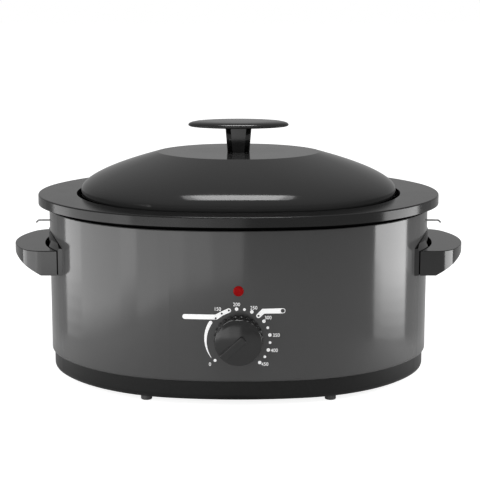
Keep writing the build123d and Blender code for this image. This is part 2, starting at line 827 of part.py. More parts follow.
with BuildPart() as dial_knob:
    with BuildSketch(dial_axis.offset(dial_back)):
        Circle(dial_radius)
        with PolarLocations(dial_radius + dial_flute_radius / 2, dial_flutes):
            Circle(dial_flute_radius, mode=Mode.SUBTRACT)
    extrude(amount=dial_skirt)
    with BuildSketch(dial_axis.offset(dial_back + dial_skirt)):
        Circle(dial_radius - dial_flute_radius)
    with BuildSketch(dial_axis.offset(dial_face)):
        Circle(dial_face_radius)
    loft()
    with Locations((0, dial_crown_radius - dial_face, dial_height)):
        Sphere(dial_crown_radius, mode=Mode.INTERSECT)
    fillet(faces().sort_by(Axis.Y)[0].edges(), dial_edge_radius)
    with BuildSketch(dial_axis.offset(dial_face - dial_crown - dial_edge_radius)):
        with Locations(Location((0, 0, 0), (0, 0, pointer_angle))):
            with Locations(((dial_face_radius - pointer_tail) / 2, 0)):
                RectangleRounded(dial_face_radius + pointer_tail, pointer_width, pointer_width / 5)
    extrude(amount=pointer_height + dial_crown + dial_edge_radius)
    fillet(faces().sort_by(Axis.Y)[0].edges(), pointer_edge)
    with BuildSketch(dial_axis.offset(dial_back)):
        Circle(dial_radius - dial_flute_radius - dial_shell)
        Circle(hub_radius, mode=Mode.SUBTRACT)
    extrude(amount=dial_face - dial_back - dial_shell - dial_crown, mode=Mode.SUBTRACT)
    with BuildSketch(dial_axis.offset(dial_back)):
        Circle(shaft_radius + shaft_play)
    extrude(amount=hub_length, mode=Mode.SUBTRACT)
save(dial_knob, "dial_knob")

link_low = -(plate_back - thermostat_depth / 2)
link_high = link_low + link_foot
with BuildPart() as sensing_strip:
    with BuildSketch(Plane.YZ):
        with BuildLine():
            Polyline(
                (link_low, thermostat_top),
                (link_high + link_gap, thermostat_top),
                (link_high + 2 * link_gap, well_floor - link_sheet),
                (link_low + link_reach, well_floor - link_sheet),
                (link_low + link_reach, well_floor),
                (link_high + link_gap, well_floor),
                (link_high, thermostat_top + link_sheet),
                (link_low, thermostat_top + link_sheet),
                close=True,
            )
        make_face()
    extrude(amount=link_width / 2, both=True)
save(sensing_strip, "sensing_strip")

# ---------------------------------------------------------------- indicator lamp

with BuildPart() as indicator_lens:
    with BuildSketch(lamp_axis.offset(wall_front)):
        Circle(lens_radius)
    extrude(amount=lens_dome)
    fillet(faces().sort_by(Axis.Y)[0].edges(), lens_edge_radius)
    with BuildSketch(lamp_axis.offset(wall_front)):
        Circle(lens_stem_radius)
    extrude(amount=-lens_stem_length)
    with BuildSketch(lamp_axis.offset(wall_front - lens_stem_length)):
        Circle(lens_stem_radius - lens_wall)
    extrude(amount=lens_stem_length - lens_wall, mode=Mode.SUBTRACT)
save(indicator_lens, "indicator_lens")

with BuildPart() as neon_lamp:
    with BuildSketch(lamp_axis.offset(wall_front - lens_stem_length)):
        Circle(lens_stem_radius - lens_wall)
    extrude(amount=lens_wall)
    with BuildSketch(lamp_axis.offset(wall_front - lens_stem_length + lens_wall)):
        Circle(lamp_radius)
    extrude(amount=lamp_length - lens_wall)
save(neon_lamp, "neon_lamp")

clip_front = wall_y(lens_clip_radius, body_inset + body_sheet)
with BuildPart() as lens_clip:
    with BuildSketch(lamp_axis.offset(clip_front)):
        Circle(lens_clip_radius)
        Circle(lens_stem_radius, mode=Mode.SUBTRACT)
    extrude(amount=-lens_clip_thickness)
save(lens_clip, "lens_clip")

# ---------------------------------------------------------------- mains inlet

nut_face = wall_y(nut_radius, body_inset + body_sheet)
with BuildPart() as cord_gland:
    with BuildSketch(gland_axis.offset(nut_face - gland_inner)):
        Circle(gland_radius)
    extrude(amount=wall_front + gland_reach - nut_face + gland_inner)
    fillet(faces().sort_by(Axis.Y)[-1].edges(), gland_edge)
    with BuildSketch(gland_axis.offset(wall_front)):
        Circle(gland_flange_radius)
    extrude(amount=gland_flange)
    with BuildSketch(gland_axis.offset(nut_face - gland_inner)):
        Circle(gland_bore_radius)
    extrude(amount=rim_half_width, mode=Mode.SUBTRACT)
    with BuildSketch(gland_axis.offset(nut_face - gland_inner)):
        Circle(gland_throat_radius)
    extrude(amount=wall_front + gland_flange / 2 - nut_face + gland_inner, mode=Mode.SUBTRACT)
save(cord_gland, "cord_gland")

with BuildPart() as gland_nut:
    with BuildSketch(gland_axis.offset(nut_face)):
        RegularPolygon(nut_radius, 6)
        Circle(gland_radius + shaft_play, mode=Mode.SUBTRACT)
    extrude(amount=-nut_thickness)
save(gland_nut, "gland_nut")

with BuildPart() as terminal_block:
    with BuildSketch(Plane.XY.offset(base_floor_top)):
        with Locations((0, block_y)):
            Rectangle(block_length, block_width)
    extrude(amount=block_height)
    fillet(edges().filter_by(Axis.Z), block_screw_radius)
    with BuildSketch(Plane.XY.offset(base_floor_top + block_height)):
        with Locations((0, block_y)):
            with GridLocations(block_pitch, 0, 3, 1):
                Rectangle(block_pitch / 2, block_width)
    extrude(amount=-block_screw_height, mode=Mode.SUBTRACT)
save(terminal_block, "terminal_block")

with BuildPart() as terminal_screws:
    with BuildSketch(Plane.XY.offset(base_floor_top + block_height - block_screw_height)):
        with Locations((0, block_y)):
            with GridLocations(block_pitch, 0, 3, 1):
                Circle(block_screw_radius)
    extrude(amount=2 * block_screw_height)
save(terminal_screws, "terminal_screws")

# ---------------------------------------------------------------- thermal fuse under the well

with BuildPart() as thermal_fuse:
    with BuildSketch(Plane.YZ.offset(-fuse_length / 2)):
        with Locations((fuse_y, well_floor - fuse_radius)):
            Circle(fuse_radius)
    extrude(amount=fuse_length)
save(thermal_fuse, "thermal_fuse")

with BuildPart() as fuse_clip:
    fuse_room = 2 * (fuse_radius + screw_play)
    clip_half = fuse_room / 2 + fuse_clip_sheet
    with BuildSketch(Plane.YZ.offset(-fuse_clip_width / 2)):
        with Locations((fuse_y, well_floor - fuse_radius)):
            Circle(clip_half)
            Rectangle(2 * clip_half, fuse_radius, align=(Align.CENTER, Align.MIN))
        with Locations((fuse_y, well_floor)):
            Rectangle(2 * clip_half, clip_half, align=(Align.CENTER, Align.MIN), mode=Mode.SUBTRACT)
            Rectangle(2 * (clip_half + fuse_clip_foot), fuse_clip_sheet, align=(Align.CENTER, Align.MAX))
        with Locations((fuse_y, well_floor - fuse_radius)):
            Circle(fuse_radius + screw_play, mode=Mode.SUBTRACT)
            Rectangle(fuse_room, fuse_radius, align=(Align.CENTER, Align.MIN), mode=Mode.SUBTRACT)
    extrude(amount=fuse_clip_width)
save(fuse_clip, "fuse_clip")

# ---------------------------------------------------------------- wiring

blade_tip = dial_height - thermostat_height / 2 - blade_length
block_top = base_floor_top + block_height + block_screw_height
over_block = block_top + 1.5 * wire_bend
before_block = block_y - block_width / 2 - 2 * wire_bend
along_floor = base_floor_top + wire_rest + wire_radius
tab_middle = well_y(tab_x, band_inset - band_thickness / 2)
tab_tip = band_bottom - tab_length
fuse_end = fuse_length / 2
fuse_turn = fuse_end + 2.5 * wire_bend
fuse_level = well_floor - fuse_radius
past_shield = mouth_half_width - shield_inset + wire_bend
routes = {
    "wire_supply": [
        (-block_pitch, block_y, block_top),
        (-block_pitch, block_y, over_block),
        (-block_pitch, before_block, over_block),
        (-block_pitch, before_block - wire_bend, along_floor),
        (-blade_x, blade_middle, along_floor),
        (-blade_x, blade_middle, blade_tip),
    ],
    "wire_switched": [
        (blade_x, blade_middle, blade_tip),
        (blade_x, blade_middle, along_floor),
        (tab_x, before_block, along_floor),
        (tab_x, tab_middle, along_floor),
        (tab_x, tab_middle, tab_tip),
    ],
    "wire_return": [
        (block_pitch, block_y, block_top),
        (block_pitch, block_y, over_block),
        (block_pitch, past_shield, over_block),
        (block_pitch, past_shield, fuse_level),
        (fuse_turn, fuse_y, fuse_level),
        (fuse_end, fuse_y, fuse_level),
    ],
    "wire_fuse": [
        (-fuse_end, fuse_y, fuse_level),
        (-fuse_turn, fuse_y, fuse_level),
        (-tab_x, tab_middle, fuse_level),
        (-tab_x, tab_middle, tab_tip),
    ],
}


def run_wire(points, bend, radius):
    """Add a round wire along a route with rounded corners to the open part."""
    with BuildLine() as path:
        run = FilletPolyline(*points, radius=bend)
    with BuildSketch(Plane(origin=run @ 0, z_dir=run % 0)) as section:
        Circle(radius)
    sweep(section.sketch, path=path.line)


for name, points in routes.items():
    with BuildPart() as wire:
        run_wire(points, wire_bend, wire_radius)
    save(wire, name)

# the lamp's leads bend down behind the lamp and end on top of the thermostat
lead_start = -(wall_front - lens_stem_length)
lead_back = lead_start + 1.1 * lead_bend
with BuildPart() as lamp_leads:
    for side in (1, -1):
        lamp_side = side * lead_pitch / 2
        thermostat_side = side * lead_spread / 2
        lead_route = [
            (lamp_side, lead_start, lamp_height),
            (lamp_side, lead_back, lamp_height),
            (thermostat_side, lead_back, thermostat_top + lead_spread),
            (thermostat_side, lead_back, thermostat_top),
        ]
        run_wire(lead_route, lead_bend, lead_radius)
save(lamp_leads, "lamp_leads")

# ---------------------------------------------------------------- side handles

plate_inset = body_inset - pad_plate
cheek_inset = body_inset - cheek_thickness
grip_inset = cheek_inset - handle_slot
handle_reach = rim_half_length - body_inset + handle_out
grip_curve = handle_reach - handle_end_radius
pad_shoulder = handle_half_width - pad_flat_half
pad_side_top = pad_top - pad_shoulder_radius + sqrt(pad_shoulder_radius**2 - pad_shoulder**2)

with BuildPart() as handle_pad_right:
    # both cheeks, which slope back to the plate above the grip
    with BuildSketch(Plane.XY.offset(handle_bottom)):
        rim_oval(cheek_inset)
    extrude(amount=handle_height)
    with BuildSketch(Plane.XY.offset(handle_top)):
        rim_oval(cheek_inset)
    with BuildSketch(Plane.XY.offset(handle_top + cheek_bevel)):
        rim_oval(plate_inset)
    loft(ruled=True)
    with BuildSketch(Plane.YZ):
        Rectangle(2 * (handle_half_width - cheek_width), 2 * pad_top)
    extrude(amount=handle_reach, mode=Mode.SUBTRACT)
    with BuildSketch(Plane.XY.offset(handle_bottom)):
        rim_oval(plate_inset)
    extrude(amount=pad_top - handle_bottom)
    with BuildSketch(Plane.XY.offset(handle_bottom)):
        rim_oval(body_inset)
    extrude(amount=pad_top - handle_bottom, mode=Mode.SUBTRACT)
    with BuildSketch(Plane.YZ):
        with BuildLine():
            right_low = (handle_half_width, handle_bottom)
            right_side = (handle_half_width, pad_side_top)
            right_top = (pad_flat_half, pad_top)
            left_top = (-pad_flat_half, pad_top)
            left_side = (-handle_half_width, pad_side_top)
            left_low = (-handle_half_width, handle_bottom)
            TangentArc(right_top, right_side, tangent=(1, 0))
            TangentArc(left_top, left_side, tangent=(-1, 0))
            Line(right_top, left_top)
            Polyline(right_side, right_low, left_low, left_side)
        make_face()
    extrude(amount=handle_reach, mode=Mode.INTERSECT)
    for axis in handle_axes[:2]:
        with BuildSketch(axis):
            Circle(handle_screw_radius + screw_play)
        extrude(amount=rim_end_radius, mode=Mode.SUBTRACT)

with BuildPart() as handle_right:
    with BuildSketch(Plane.XY.offset(handle_bottom)):
        with Locations((grip_curve, 0)):
            Circle(handle_end_radius)
        with Locations((handle_reach, 0)):
            Rectangle(2 * handle_end_radius, 2 * handle_half_width, mode=Mode.INTERSECT)
        fillet(vertices().sort_by(Axis.X)[-2:], handle_corner_radius)
        rim_oval(grip_inset, mode=Mode.SUBTRACT)
    extrude(amount=handle_top - handle_bottom)
    with BuildSketch(Plane.XZ):
        with BuildLine():
            slant_start = (handle_reach - handle_slant_run, handle_bottom)
            slant_end = (handle_reach, handle_bottom + handle_slant_rise)
            Polyline(slant_start, slant_end, (handle_reach, handle_bottom), close=True)
        make_face()
    extrude(amount=handle_half_width, both=True, mode=Mode.SUBTRACT)
    fillet(faces().sort_by(Axis.Z)[-1].edges(), handle_edge)
    # two bosses bridge the slot between the grip and the pad's cheeks
    for axis in handle_axes[:2]:
        with BuildSketch(axis):
            Circle(handle_boss_radius)
        extrude(amount=rim_end_radius)
    with BuildSketch(Plane.XY.offset(handle_bottom)):
        rim_oval(cheek_inset)
    extrude(amount=handle_top - handle_bottom, mode=Mode.SUBTRACT)
    for axis in handle_axes[:2]:
        with BuildSketch(axis):
            Circle(handle_screw_radius + screw_play)
        extrude(amount=rim_end_radius - grip_inset + handle_screw_reach, mode=Mode.SUBTRACT)

for right, name in ((handle_pad_right, "handle_pad"), (handle_right, "handle")):
    save(right, f"{name}_right")
    with BuildPart() as left:
        mirror(right.part, about=Plane.YZ)
    save(left, f"{name}_left")

# the screws go out through the wall from inside, so their heads are hidden
inner_radius = rim_end_radius - body_inset - body_sheet
handle_head_seat = sqrt(inner_radius**2 - handle_screw_head_radius**2)
handle_screw_tip = rim_end_radius - grip_inset + handle_screw_reach - screw_play
with BuildPart() as handle_screws:
    for axis in handle_axes:
        with BuildSketch(axis.offset(handle_head_seat)):
            Circle(handle_screw_head_radius)
        extrude(amount=-handle_screw_head_height)
        with BuildSketch(axis.offset(handle_head_seat)):
            Circle(handle_screw_radius)
        extrude(amount=handle_screw_tip - handle_head_seat)
save(handle_screws, "handle_screws")

# ---------------------------------------------------------------- wire hooks

wall_end = rim_half_length - body_inset
hook_inside = wall_end - body_sheet - hook_inner
hook_corner = wall_end + hook_reach
with BuildPart() as wire_hooks:
    for side in (1, -1):
        hook_route = [
            (side * hook_inside, 0, hook_height - hook_leg),
            (side * hook_inside, 0, hook_height),
            (side * hook_corner, 0, hook_height),
            (side * (hook_corner + hook_drop), 0, hook_height - hook_drop),
        ]
        run_wire(hook_route, hook_bend, hook_wire_radius)
save(wire_hooks, "wire_hooks")
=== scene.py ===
# %% [markdown]
# # An electric roaster oven, dressed in Blender
#
# The oven is already built as solids, one for each real piece, with real joints. This lesson loads
# those solids as a fixed frame, throws away their plain colours, and gives them their looks: enamel,
# paint, moulded plastic, printed numbers and soft studio light. Everything is in metres. +Z is up,
# -Y is the front with the dial, and the origin is on the table under the middle of the oven.

# %% Load the frame
import json
import math

import bmesh
import bpy
from mathutils import Matrix, Vector


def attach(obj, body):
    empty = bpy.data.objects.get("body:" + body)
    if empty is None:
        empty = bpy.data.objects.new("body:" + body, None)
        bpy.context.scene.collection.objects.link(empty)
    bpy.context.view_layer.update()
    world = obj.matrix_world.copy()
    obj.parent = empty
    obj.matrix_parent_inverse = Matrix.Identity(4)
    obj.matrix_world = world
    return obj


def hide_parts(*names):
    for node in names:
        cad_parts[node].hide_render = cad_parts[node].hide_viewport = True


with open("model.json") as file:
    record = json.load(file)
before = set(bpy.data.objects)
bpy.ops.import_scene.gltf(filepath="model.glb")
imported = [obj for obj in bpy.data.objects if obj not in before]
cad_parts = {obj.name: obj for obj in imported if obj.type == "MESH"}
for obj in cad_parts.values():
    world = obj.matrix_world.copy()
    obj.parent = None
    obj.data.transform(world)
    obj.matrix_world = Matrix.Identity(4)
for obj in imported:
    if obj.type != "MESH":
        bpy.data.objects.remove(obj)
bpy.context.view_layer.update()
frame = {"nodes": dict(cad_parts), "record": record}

parts = frame["nodes"]
for plain_colour in list(bpy.data.materials):
    bpy.data.materials.remove(plain_colour)

# %% [markdown]
# ## The camera
#
# An oval looks calm through a long lens from far away, while a short lens close by would swell the
# near rim. So the camera has a long lens and stands a metre and a half away. It tilts down a little,
# to show the lid's top and the wide rim. The lens is shifted by less than a hundredth of the frame,
# only to centre the oven.

# %% Camera
TILT_DOWN = 0.1965779       # radians

camera_data = bpy.data.cameras.new("camera")
camera_data.sensor_width = 36.0
camera_data.lens = 114.8
camera_data.shift_x = 0.0032
camera_data.shift_y = 0.0049
camera_data.dof.use_dof = False
camera = bpy.data.objects.new("camera", camera_data)
camera.location = (0.0, -1.44015, 0.41063)
camera.rotation_euler = (math.pi / 2 - TILT_DOWN, 0.0, 0.0)
bpy.context.scene.collection.objects.link(camera)
bpy.context.scene.camera = camera
bpy.context.scene.view_settings.view_transform = "Standard"
print("camera", tuple(camera.location))

# %% [markdown]
# ## The studio
#
# The oven stands on a pale floor in a white room. Black gloss shows mostly what stands around it, so
# the room matters more than the colours do. A picture of a studio could stand around it, but one
# plain colour is easier to reason about. The world is white to the camera and in reflections, and
# half as strong as a light. The Light Path node tells the two apart.

# %% World
LIGHT_OF_ROOM = 0.5
WHITE = (1.0, 1.0, 1.0, 1.0)


def looks_at_background(nodes, links):
    """A number that is 1 for camera, glossy and transmission rays and 0 for all others."""
    path = nodes.new("ShaderNodeLightPath")
    seen = path.outputs["Is Camera Ray"]
    for ray in ("Is Glossy Ray", "Is Transmission Ray"):
        either = nodes.new("ShaderNodeMath")
        either.operation = "MAXIMUM"
        links.new(seen, either.inputs[0])
        links.new(path.outputs[ray], either.inputs[1])
        seen = either.outputs[0]
    return seen


world = bpy.data.worlds.new("white_room")
world.use_nodes = True
bpy.context.scene.world = world
nodes, links = world.node_tree.nodes, world.node_tree.links
nodes.clear()
room_light = nodes.new("ShaderNodeBackground")
room_light.inputs["Color"].default_value = WHITE
room_light.inputs["Strength"].default_value = LIGHT_OF_ROOM
white_wall = nodes.new("ShaderNodeBackground")
white_wall.inputs["Color"].default_value = WHITE
white_wall.inputs["Strength"].default_value = 1.0
choose = nodes.new("ShaderNodeMixShader")
world_output = nodes.new("ShaderNodeOutputWorld")
links.new(looks_at_background(nodes, links), choose.inputs["Fac"])
links.new(room_light.outputs[0], choose.inputs[1])
links.new(white_wall.outputs[0], choose.inputs[2])
links.new(choose.outputs[0], world_output.inputs["Surface"])
print("world", world.name)

# %% [markdown]
# The floor is a plain pale sheet. A brighter lamp could lift it to white, but that would also light
# the oven too much. So the sheet glows a little instead, for the camera and in reflections only, and
# keeps the oven's shadow. Reflections see much less of the glow, or the black paint above would turn
# grey.

# %% Finish of the floor
FLOOR_GREY = 0.62
FLOOR_GLOW = 0.05
FLOOR_GLOW_FOR_CAMERA = 0.82

floor_material = bpy.data.materials.new("pale_floor")
floor_material.use_nodes = True
nodes, links = floor_material.node_tree.nodes, floor_material.node_tree.links
nodes.clear()
matt_sheet = nodes.new("ShaderNodeBsdfDiffuse")
matt_sheet.inputs["Color"].default_value = (FLOOR_GREY, FLOOR_GREY, FLOOR_GREY, 1.0)
glow = nodes.new("ShaderNodeEmission")
glow_strength = nodes.new("ShaderNodeMath")
glow_strength.operation = "MULTIPLY"
glow_strength.inputs[1].default_value = FLOOR_GLOW
floor_path = nodes.new("ShaderNodeLightPath")
for_camera = nodes.new("ShaderNodeMath")
for_camera.operation = "MULTIPLY_ADD"
for_camera.inputs[1].default_value = FLOOR_GLOW_FOR_CAMERA
together = nodes.new("ShaderNodeAddShader")
floor_output = nodes.new("ShaderNodeOutputMaterial")
links.new(looks_at_background(nodes, links), glow_strength.inputs[0])
links.new(floor_path.outputs["Is Camera Ray"], for_camera.inputs[0])
links.new(glow_strength.outputs[0], for_camera.inputs[2])
links.new(for_camera.outputs[0], glow.inputs["Strength"])
links.new(matt_sheet.outputs[0], together.inputs[0])
links.new(glow.outputs[0], together.inputs[1])
links.new(together.outputs[0], floor_output.inputs["Surface"])
print("material", floor_material.name)

# %% Floor
FLOOR_SIZE = 12.0


def new_piece(name, bm):
    """Turn a finished bmesh into a linked object that sits at the origin."""
    mesh = bpy.data.meshes.new(name)
    bm.to_mesh(mesh)
    bm.free()
    piece = bpy.data.objects.new(name, mesh)
    bpy.context.scene.collection.objects.link(piece)
    return piece


bm = bmesh.new()
bmesh.ops.create_grid(bm, x_segments=1, y_segments=1, size=FLOOR_SIZE / 2)
floor = new_piece("floor", bm)
floor.data.materials.append(floor_material)
print("floor", FLOOR_SIZE, "m wide")

# %% [markdown]
# Enamel seen at a flat angle mirrors the room almost like glass, and a white room would turn the lid
# grey. A photographer hangs grey cloth round the table for this. A grey world could do it too, but
# then the background would be grey as well. The tent is half a ball of cloth that only reflections
# see, so it dims no light and throws no shadow.

# %% Tent
TENT_RADIUS = 1.45
TENT_GREY = 0.40
TENT_FOOT = 0.01            # the cloth ends just above the floor
TENT_SIDES = 48
TENT_RINGS = 24

tent_material = bpy.data.materials.new("grey_tent")
tent_material.use_nodes = True
nodes, links = tent_material.node_tree.nodes, tent_material.node_tree.links
nodes.clear()
cloth = nodes.new("ShaderNodeEmission")
cloth.inputs["Color"].default_value = WHITE
cloth.inputs["Strength"].default_value = TENT_GREY
tent_output = nodes.new("ShaderNodeOutputMaterial")
links.new(cloth.outputs[0], tent_output.inputs["Surface"])

bm = bmesh.new()
bmesh.ops.create_uvsphere(bm, u_segments=TENT_SIDES, v_segments=TENT_RINGS, radius=TENT_RADIUS)
bmesh.ops.bisect_plane(
    bm,
    geom=bm.verts[:] + bm.edges[:] + bm.faces[:],
    plane_co=(0.0, 0.0, TENT_FOOT),
    plane_no=(0.0, 0.0, 1.0),
    clear_inner=True,
)
tent = new_piece("tent", bm)
tent.data.materials.append(tent_material)
for ray in ("camera", "diffuse", "transmission", "volume_scatter", "shadow"):
    setattr(tent, "visible_" + ray, False)
print("tent", TENT_RADIUS, "m in radius")

# %% [markdown]
# ## The lights
#
# Product photographers light black gloss with softboxes: the box is seen in the surface as a clean
# band. An area light is such a box. Its power in watts says little about how bright it looks, so
# each box here is set by its brightness, and its power follows from its area. One box overhead draws
# the bright line on the front of the lid, with a dimmer wing at each end so that the line fades out.

# %% Box over the lid
BOX_HEIGHT = 1.19
BOX_FORWARD = -0.28
BOX_WIDTH = 0.42
BOX_DEPTH = 0.36
BOX_BRIGHTNESS = 10.8
WING_SIDE = 0.24
WING_WIDTH = 0.06
WING_BRIGHTNESS = 4.5


def softbox(name, middle, aim, width, height, brightness):
    """A rectangular light that faces aim. Brightness 1 looks as bright as a white wall."""
    data = bpy.data.lights.new(name, "AREA")
    data.shape = "RECTANGLE"
    data.size, data.size_y = width, height
    data.energy = brightness * math.pi * width * height
    lamp = bpy.data.objects.new(name, data)
    lamp.location = middle
    lamp.rotation_euler = (Vector(aim) - Vector(middle)).to_track_quat("-Z", "Y").to_euler()
    lamp.visible_camera = False
    bpy.context.scene.collection.objects.link(lamp)


for name, x, width, brightness in (
    ("lid_box", 0.0, BOX_WIDTH, BOX_BRIGHTNESS),
    ("lid_box_left", -WING_SIDE, WING_WIDTH, WING_BRIGHTNESS),
    ("lid_box_right", WING_SIDE, WING_WIDTH, WING_BRIGHTNESS),
):
    softbox(name, (x, BOX_FORWARD, BOX_HEIGHT), (x, BOX_FORWARD, 0.0), width, BOX_DEPTH, brightness)
print(len(bpy.data.lights), "boxes overhead")

# %% [markdown]
# Upright panels stand low and close at both ends and draw the bands on the body. The closer a panel
# stands, the further down the wall its band reaches. The bands have to fade downwards, which one
# even light can't do, so a panel has a foot of five strips that are dimmer towards the table. Four
# plain panels, further off, stand round the front on the left.

# %% Sizes of the panels
PANEL_SIDE = 0.33
PANEL_TOP = 0.15            # low enough that the lid's skirt doesn't mirror the panels
FOOT_STRIPS = 5
FOOT_DIMMING = 0.22         # how bright a panel is at the table
FRONT_TOP = 0.12
LEFT_PANELS = (             # from and to along Y, height of the foot, brightness
    ("left_panel", -0.058, 0.024, 0.075, 2.9),
    ("left_front_panel", -0.24, -0.058, 0.035, 2.2),
    ("left_corner_panel", -0.34, -0.24, 0.055, 2.5),
)
RIGHT_PANELS = (
    ("right_front_panel", -0.151, -0.122, 0.10, 5.5),
    ("right_panel", -0.122, -0.040, 0.07, 5.4),
    ("right_back_panel", -0.040, -0.006, 0.07, 5.2),
)
FRONT_PANELS = (            # from one corner to the other, brightness
    (-0.33, -0.34, -0.27, -0.45, 1.6),
    (-0.27, -0.45, -0.19, -0.57, 1.5),
    (-0.19, -0.57, -0.10, -0.62, 1.2),
    (-0.10, -0.62, 0.02, -0.65, 0.8),
)
print(len(LEFT_PANELS + FRONT_PANELS + RIGHT_PANELS), "panels")

# %% Stand the panels round the oven


def end_panel(name, x, y_from, y_to, foot, brightness):
    """An upright panel at x, between two places along Y, that brightens from the table up to foot."""
    y = (y_from + y_to) / 2
    breadth = abs(y_to - y_from)
    strips = [(foot, PANEL_TOP, 1.0)]
    for strip in range(FOOT_STRIPS):
        level = FOOT_DIMMING + (1.0 - FOOT_DIMMING) * (strip + 0.5) / FOOT_STRIPS
        strips.append((foot * strip / FOOT_STRIPS, foot * (strip + 1) / FOOT_STRIPS, level))
    for number, (low, high, level) in enumerate(strips):
        z = (low + high) / 2
        softbox(f"{name}_{number}", (x, y, z), (0.0, y, z), breadth, high - low, brightness * level)


for name, *sizes in LEFT_PANELS:
    end_panel(name, -PANEL_SIDE, *sizes)
for number, (x_from, y_from, x_to, y_to, brightness) in enumerate(FRONT_PANELS):
    middle = Vector(((x_from + x_to) / 2, (y_from + y_to) / 2, FRONT_TOP / 2))
    breadth = math.hypot(x_to - x_from, y_to - y_from)
    square_on = Vector((y_from - y_to, x_to - x_from, 0.0))
    softbox(f"front_panel_{number}", middle, middle + square_on, breadth, FRONT_TOP, brightness)
for name, *sizes in RIGHT_PANELS:
    end_panel(name, PANEL_SIDE, *sizes)
print(len(bpy.data.lights), "lights in all")

# %% [markdown]
# ## Finishes
#
# Each finish is one Principled shader. What is the same all over is set on its sockets. What varies
# comes from noise in the piece's own coordinates: a little colour, a little roughness, and a little
# bump, at the scale that the real surface has. Painted images could do the same, but noise needs no
# unwrapping and stays sharp however near the camera comes.

# %% Start a finish


def grey(level):
    """A neutral colour."""
    return (level, level, level)


def start_finish(name, colour, roughness, metallic=0.0, specular=0.5):
    """A material with its Principled shader set to plain values."""
    material = bpy.data.materials.new(name)
    material.use_nodes = True
    shader = material.node_tree.nodes["Principled BSDF"]
    shader.inputs["Base Color"].default_value = (*colour, 1.0)
    shader.inputs["Roughness"].default_value = roughness
    shader.inputs["Metallic"].default_value = metallic
    shader.inputs["Specular IOR Level"].default_value = specular
    return material, shader


print("a neutral colour is", grey(0.5))

# %% Let a finish vary
COLOUR_LOW, COLOUR_HIGH = 0.35, 0.65        # noise seldom leaves these limits
ROUGHNESS_LOW, ROUGHNESS_HIGH = 0.3, 0.7


def noise_of(material, size, detail=2.0):
    """Noise in the piece's own coordinates, with features about size metres across."""
    tree = material.node_tree
    place = tree.nodes.new("ShaderNodeTexCoord")
    noise = tree.nodes.new("ShaderNodeTexNoise")
    noise.inputs["Scale"].default_value = 1.0 / size
    noise.inputs["Detail"].default_value = detail
    tree.links.new(place.outputs["Object"], noise.inputs["Vector"])
    return noise.outputs["Fac"]


def vary_colour(material, shader, value, dark, light):
    """Blend the base colour between two colours."""
    tree = material.node_tree
    ramp = tree.nodes.new("ShaderNodeValToRGB")
    ramp.color_ramp.elements[0].position = COLOUR_LOW
    ramp.color_ramp.elements[0].color = (*dark, 1.0)
    ramp.color_ramp.elements[1].position = COLOUR_HIGH
    ramp.color_ramp.elements[1].color = (*light, 1.0)
    tree.links.new(value, ramp.inputs["Fac"])
    tree.links.new(ramp.outputs["Color"], shader.inputs["Base Color"])


def vary_roughness(material, shader, value, smooth, rough):
    """Let the roughness wander between two values."""
    tree = material.node_tree
    spread = tree.nodes.new("ShaderNodeMapRange")
    spread.inputs["From Min"].default_value = ROUGHNESS_LOW
    spread.inputs["From Max"].default_value = ROUGHNESS_HIGH
    spread.inputs["To Min"].default_value = smooth
    spread.inputs["To Max"].default_value = rough
    tree.links.new(value, spread.inputs["Value"])
    tree.links.new(spread.outputs["Result"], shader.inputs["Roughness"])


def add_bump(material, shader, value, height):
    """Raise and sink the surface by about height metres."""
    tree = material.node_tree
    bump = tree.nodes.new("ShaderNodeBump")
    bump.inputs["Distance"].default_value = height
    bump.inputs["Strength"].default_value = 1.0
    tree.links.new(value, bump.inputs["Height"])
    tree.links.new(bump.outputs["Normal"], shader.inputs["Normal"])


print("noise is used from", COLOUR_LOW, "to", COLOUR_HIGH)

# %% [markdown]
# The body is sheet steel under a dark grey gloss paint that holds fine flakes, and a sprayed coat
# has a faint orange peel. A separate clear coat could carry the gloss, but a low roughness on the
# same shader looks alike from here. The flakes are a fine noise in the colour, a tenth of a
# millimetre or so across, and the orange peel is a soft bump.

# %% Body paint
MM = 0.001

body_paint, shader = start_finish("body_paint", grey(0.056), 0.12, specular=0.6)
vary_colour(body_paint, shader, noise_of(body_paint, 0.15 * MM), grey(0.052), grey(0.060))
vary_roughness(body_paint, shader, noise_of(body_paint, 40 * MM), 0.10, 0.14)
add_bump(body_paint, shader, noise_of(body_paint, 3 * MM), 0.004 * MM)
print(body_paint.name)

# %% [markdown]
# Lid, pan and well are enamelled steel. The lid is glossy. The pan's coating is satin, with a finer,
# rougher skin that lets food slip off it. The well is never seen in use, and its coat is a dull
# black. One enamel for all three would make them read as one piece, so each has its own.

# %% Enamels
lid_enamel, shader = start_finish("lid_enamel", grey(0.025), 0.10, specular=0.35)
vary_colour(lid_enamel, shader, noise_of(lid_enamel, 0.3 * MM), grey(0.023), grey(0.028))
vary_roughness(lid_enamel, shader, noise_of(lid_enamel, 30 * MM), 0.08, 0.12)
add_bump(lid_enamel, shader, noise_of(lid_enamel, 4 * MM), 0.003 * MM)

pan_enamel, shader = start_finish("pan_enamel", grey(0.010), 0.16, specular=0.35)
vary_colour(pan_enamel, shader, noise_of(pan_enamel, 0.4 * MM), grey(0.008), grey(0.012))
vary_roughness(pan_enamel, shader, noise_of(pan_enamel, 20 * MM), 0.14, 0.18)
add_bump(pan_enamel, shader, noise_of(pan_enamel, 0.5 * MM), 0.004 * MM)

well_enamel, shader = start_finish("well_enamel", grey(0.003), 0.70, specular=0.05)
vary_colour(well_enamel, shader, noise_of(well_enamel, 0.5 * MM), grey(0.002), grey(0.004))
add_bump(well_enamel, shader, noise_of(well_enamel, 0.8 * MM), 0.006 * MM)
print(lid_enamel.name, pan_enamel.name, well_enamel.name)

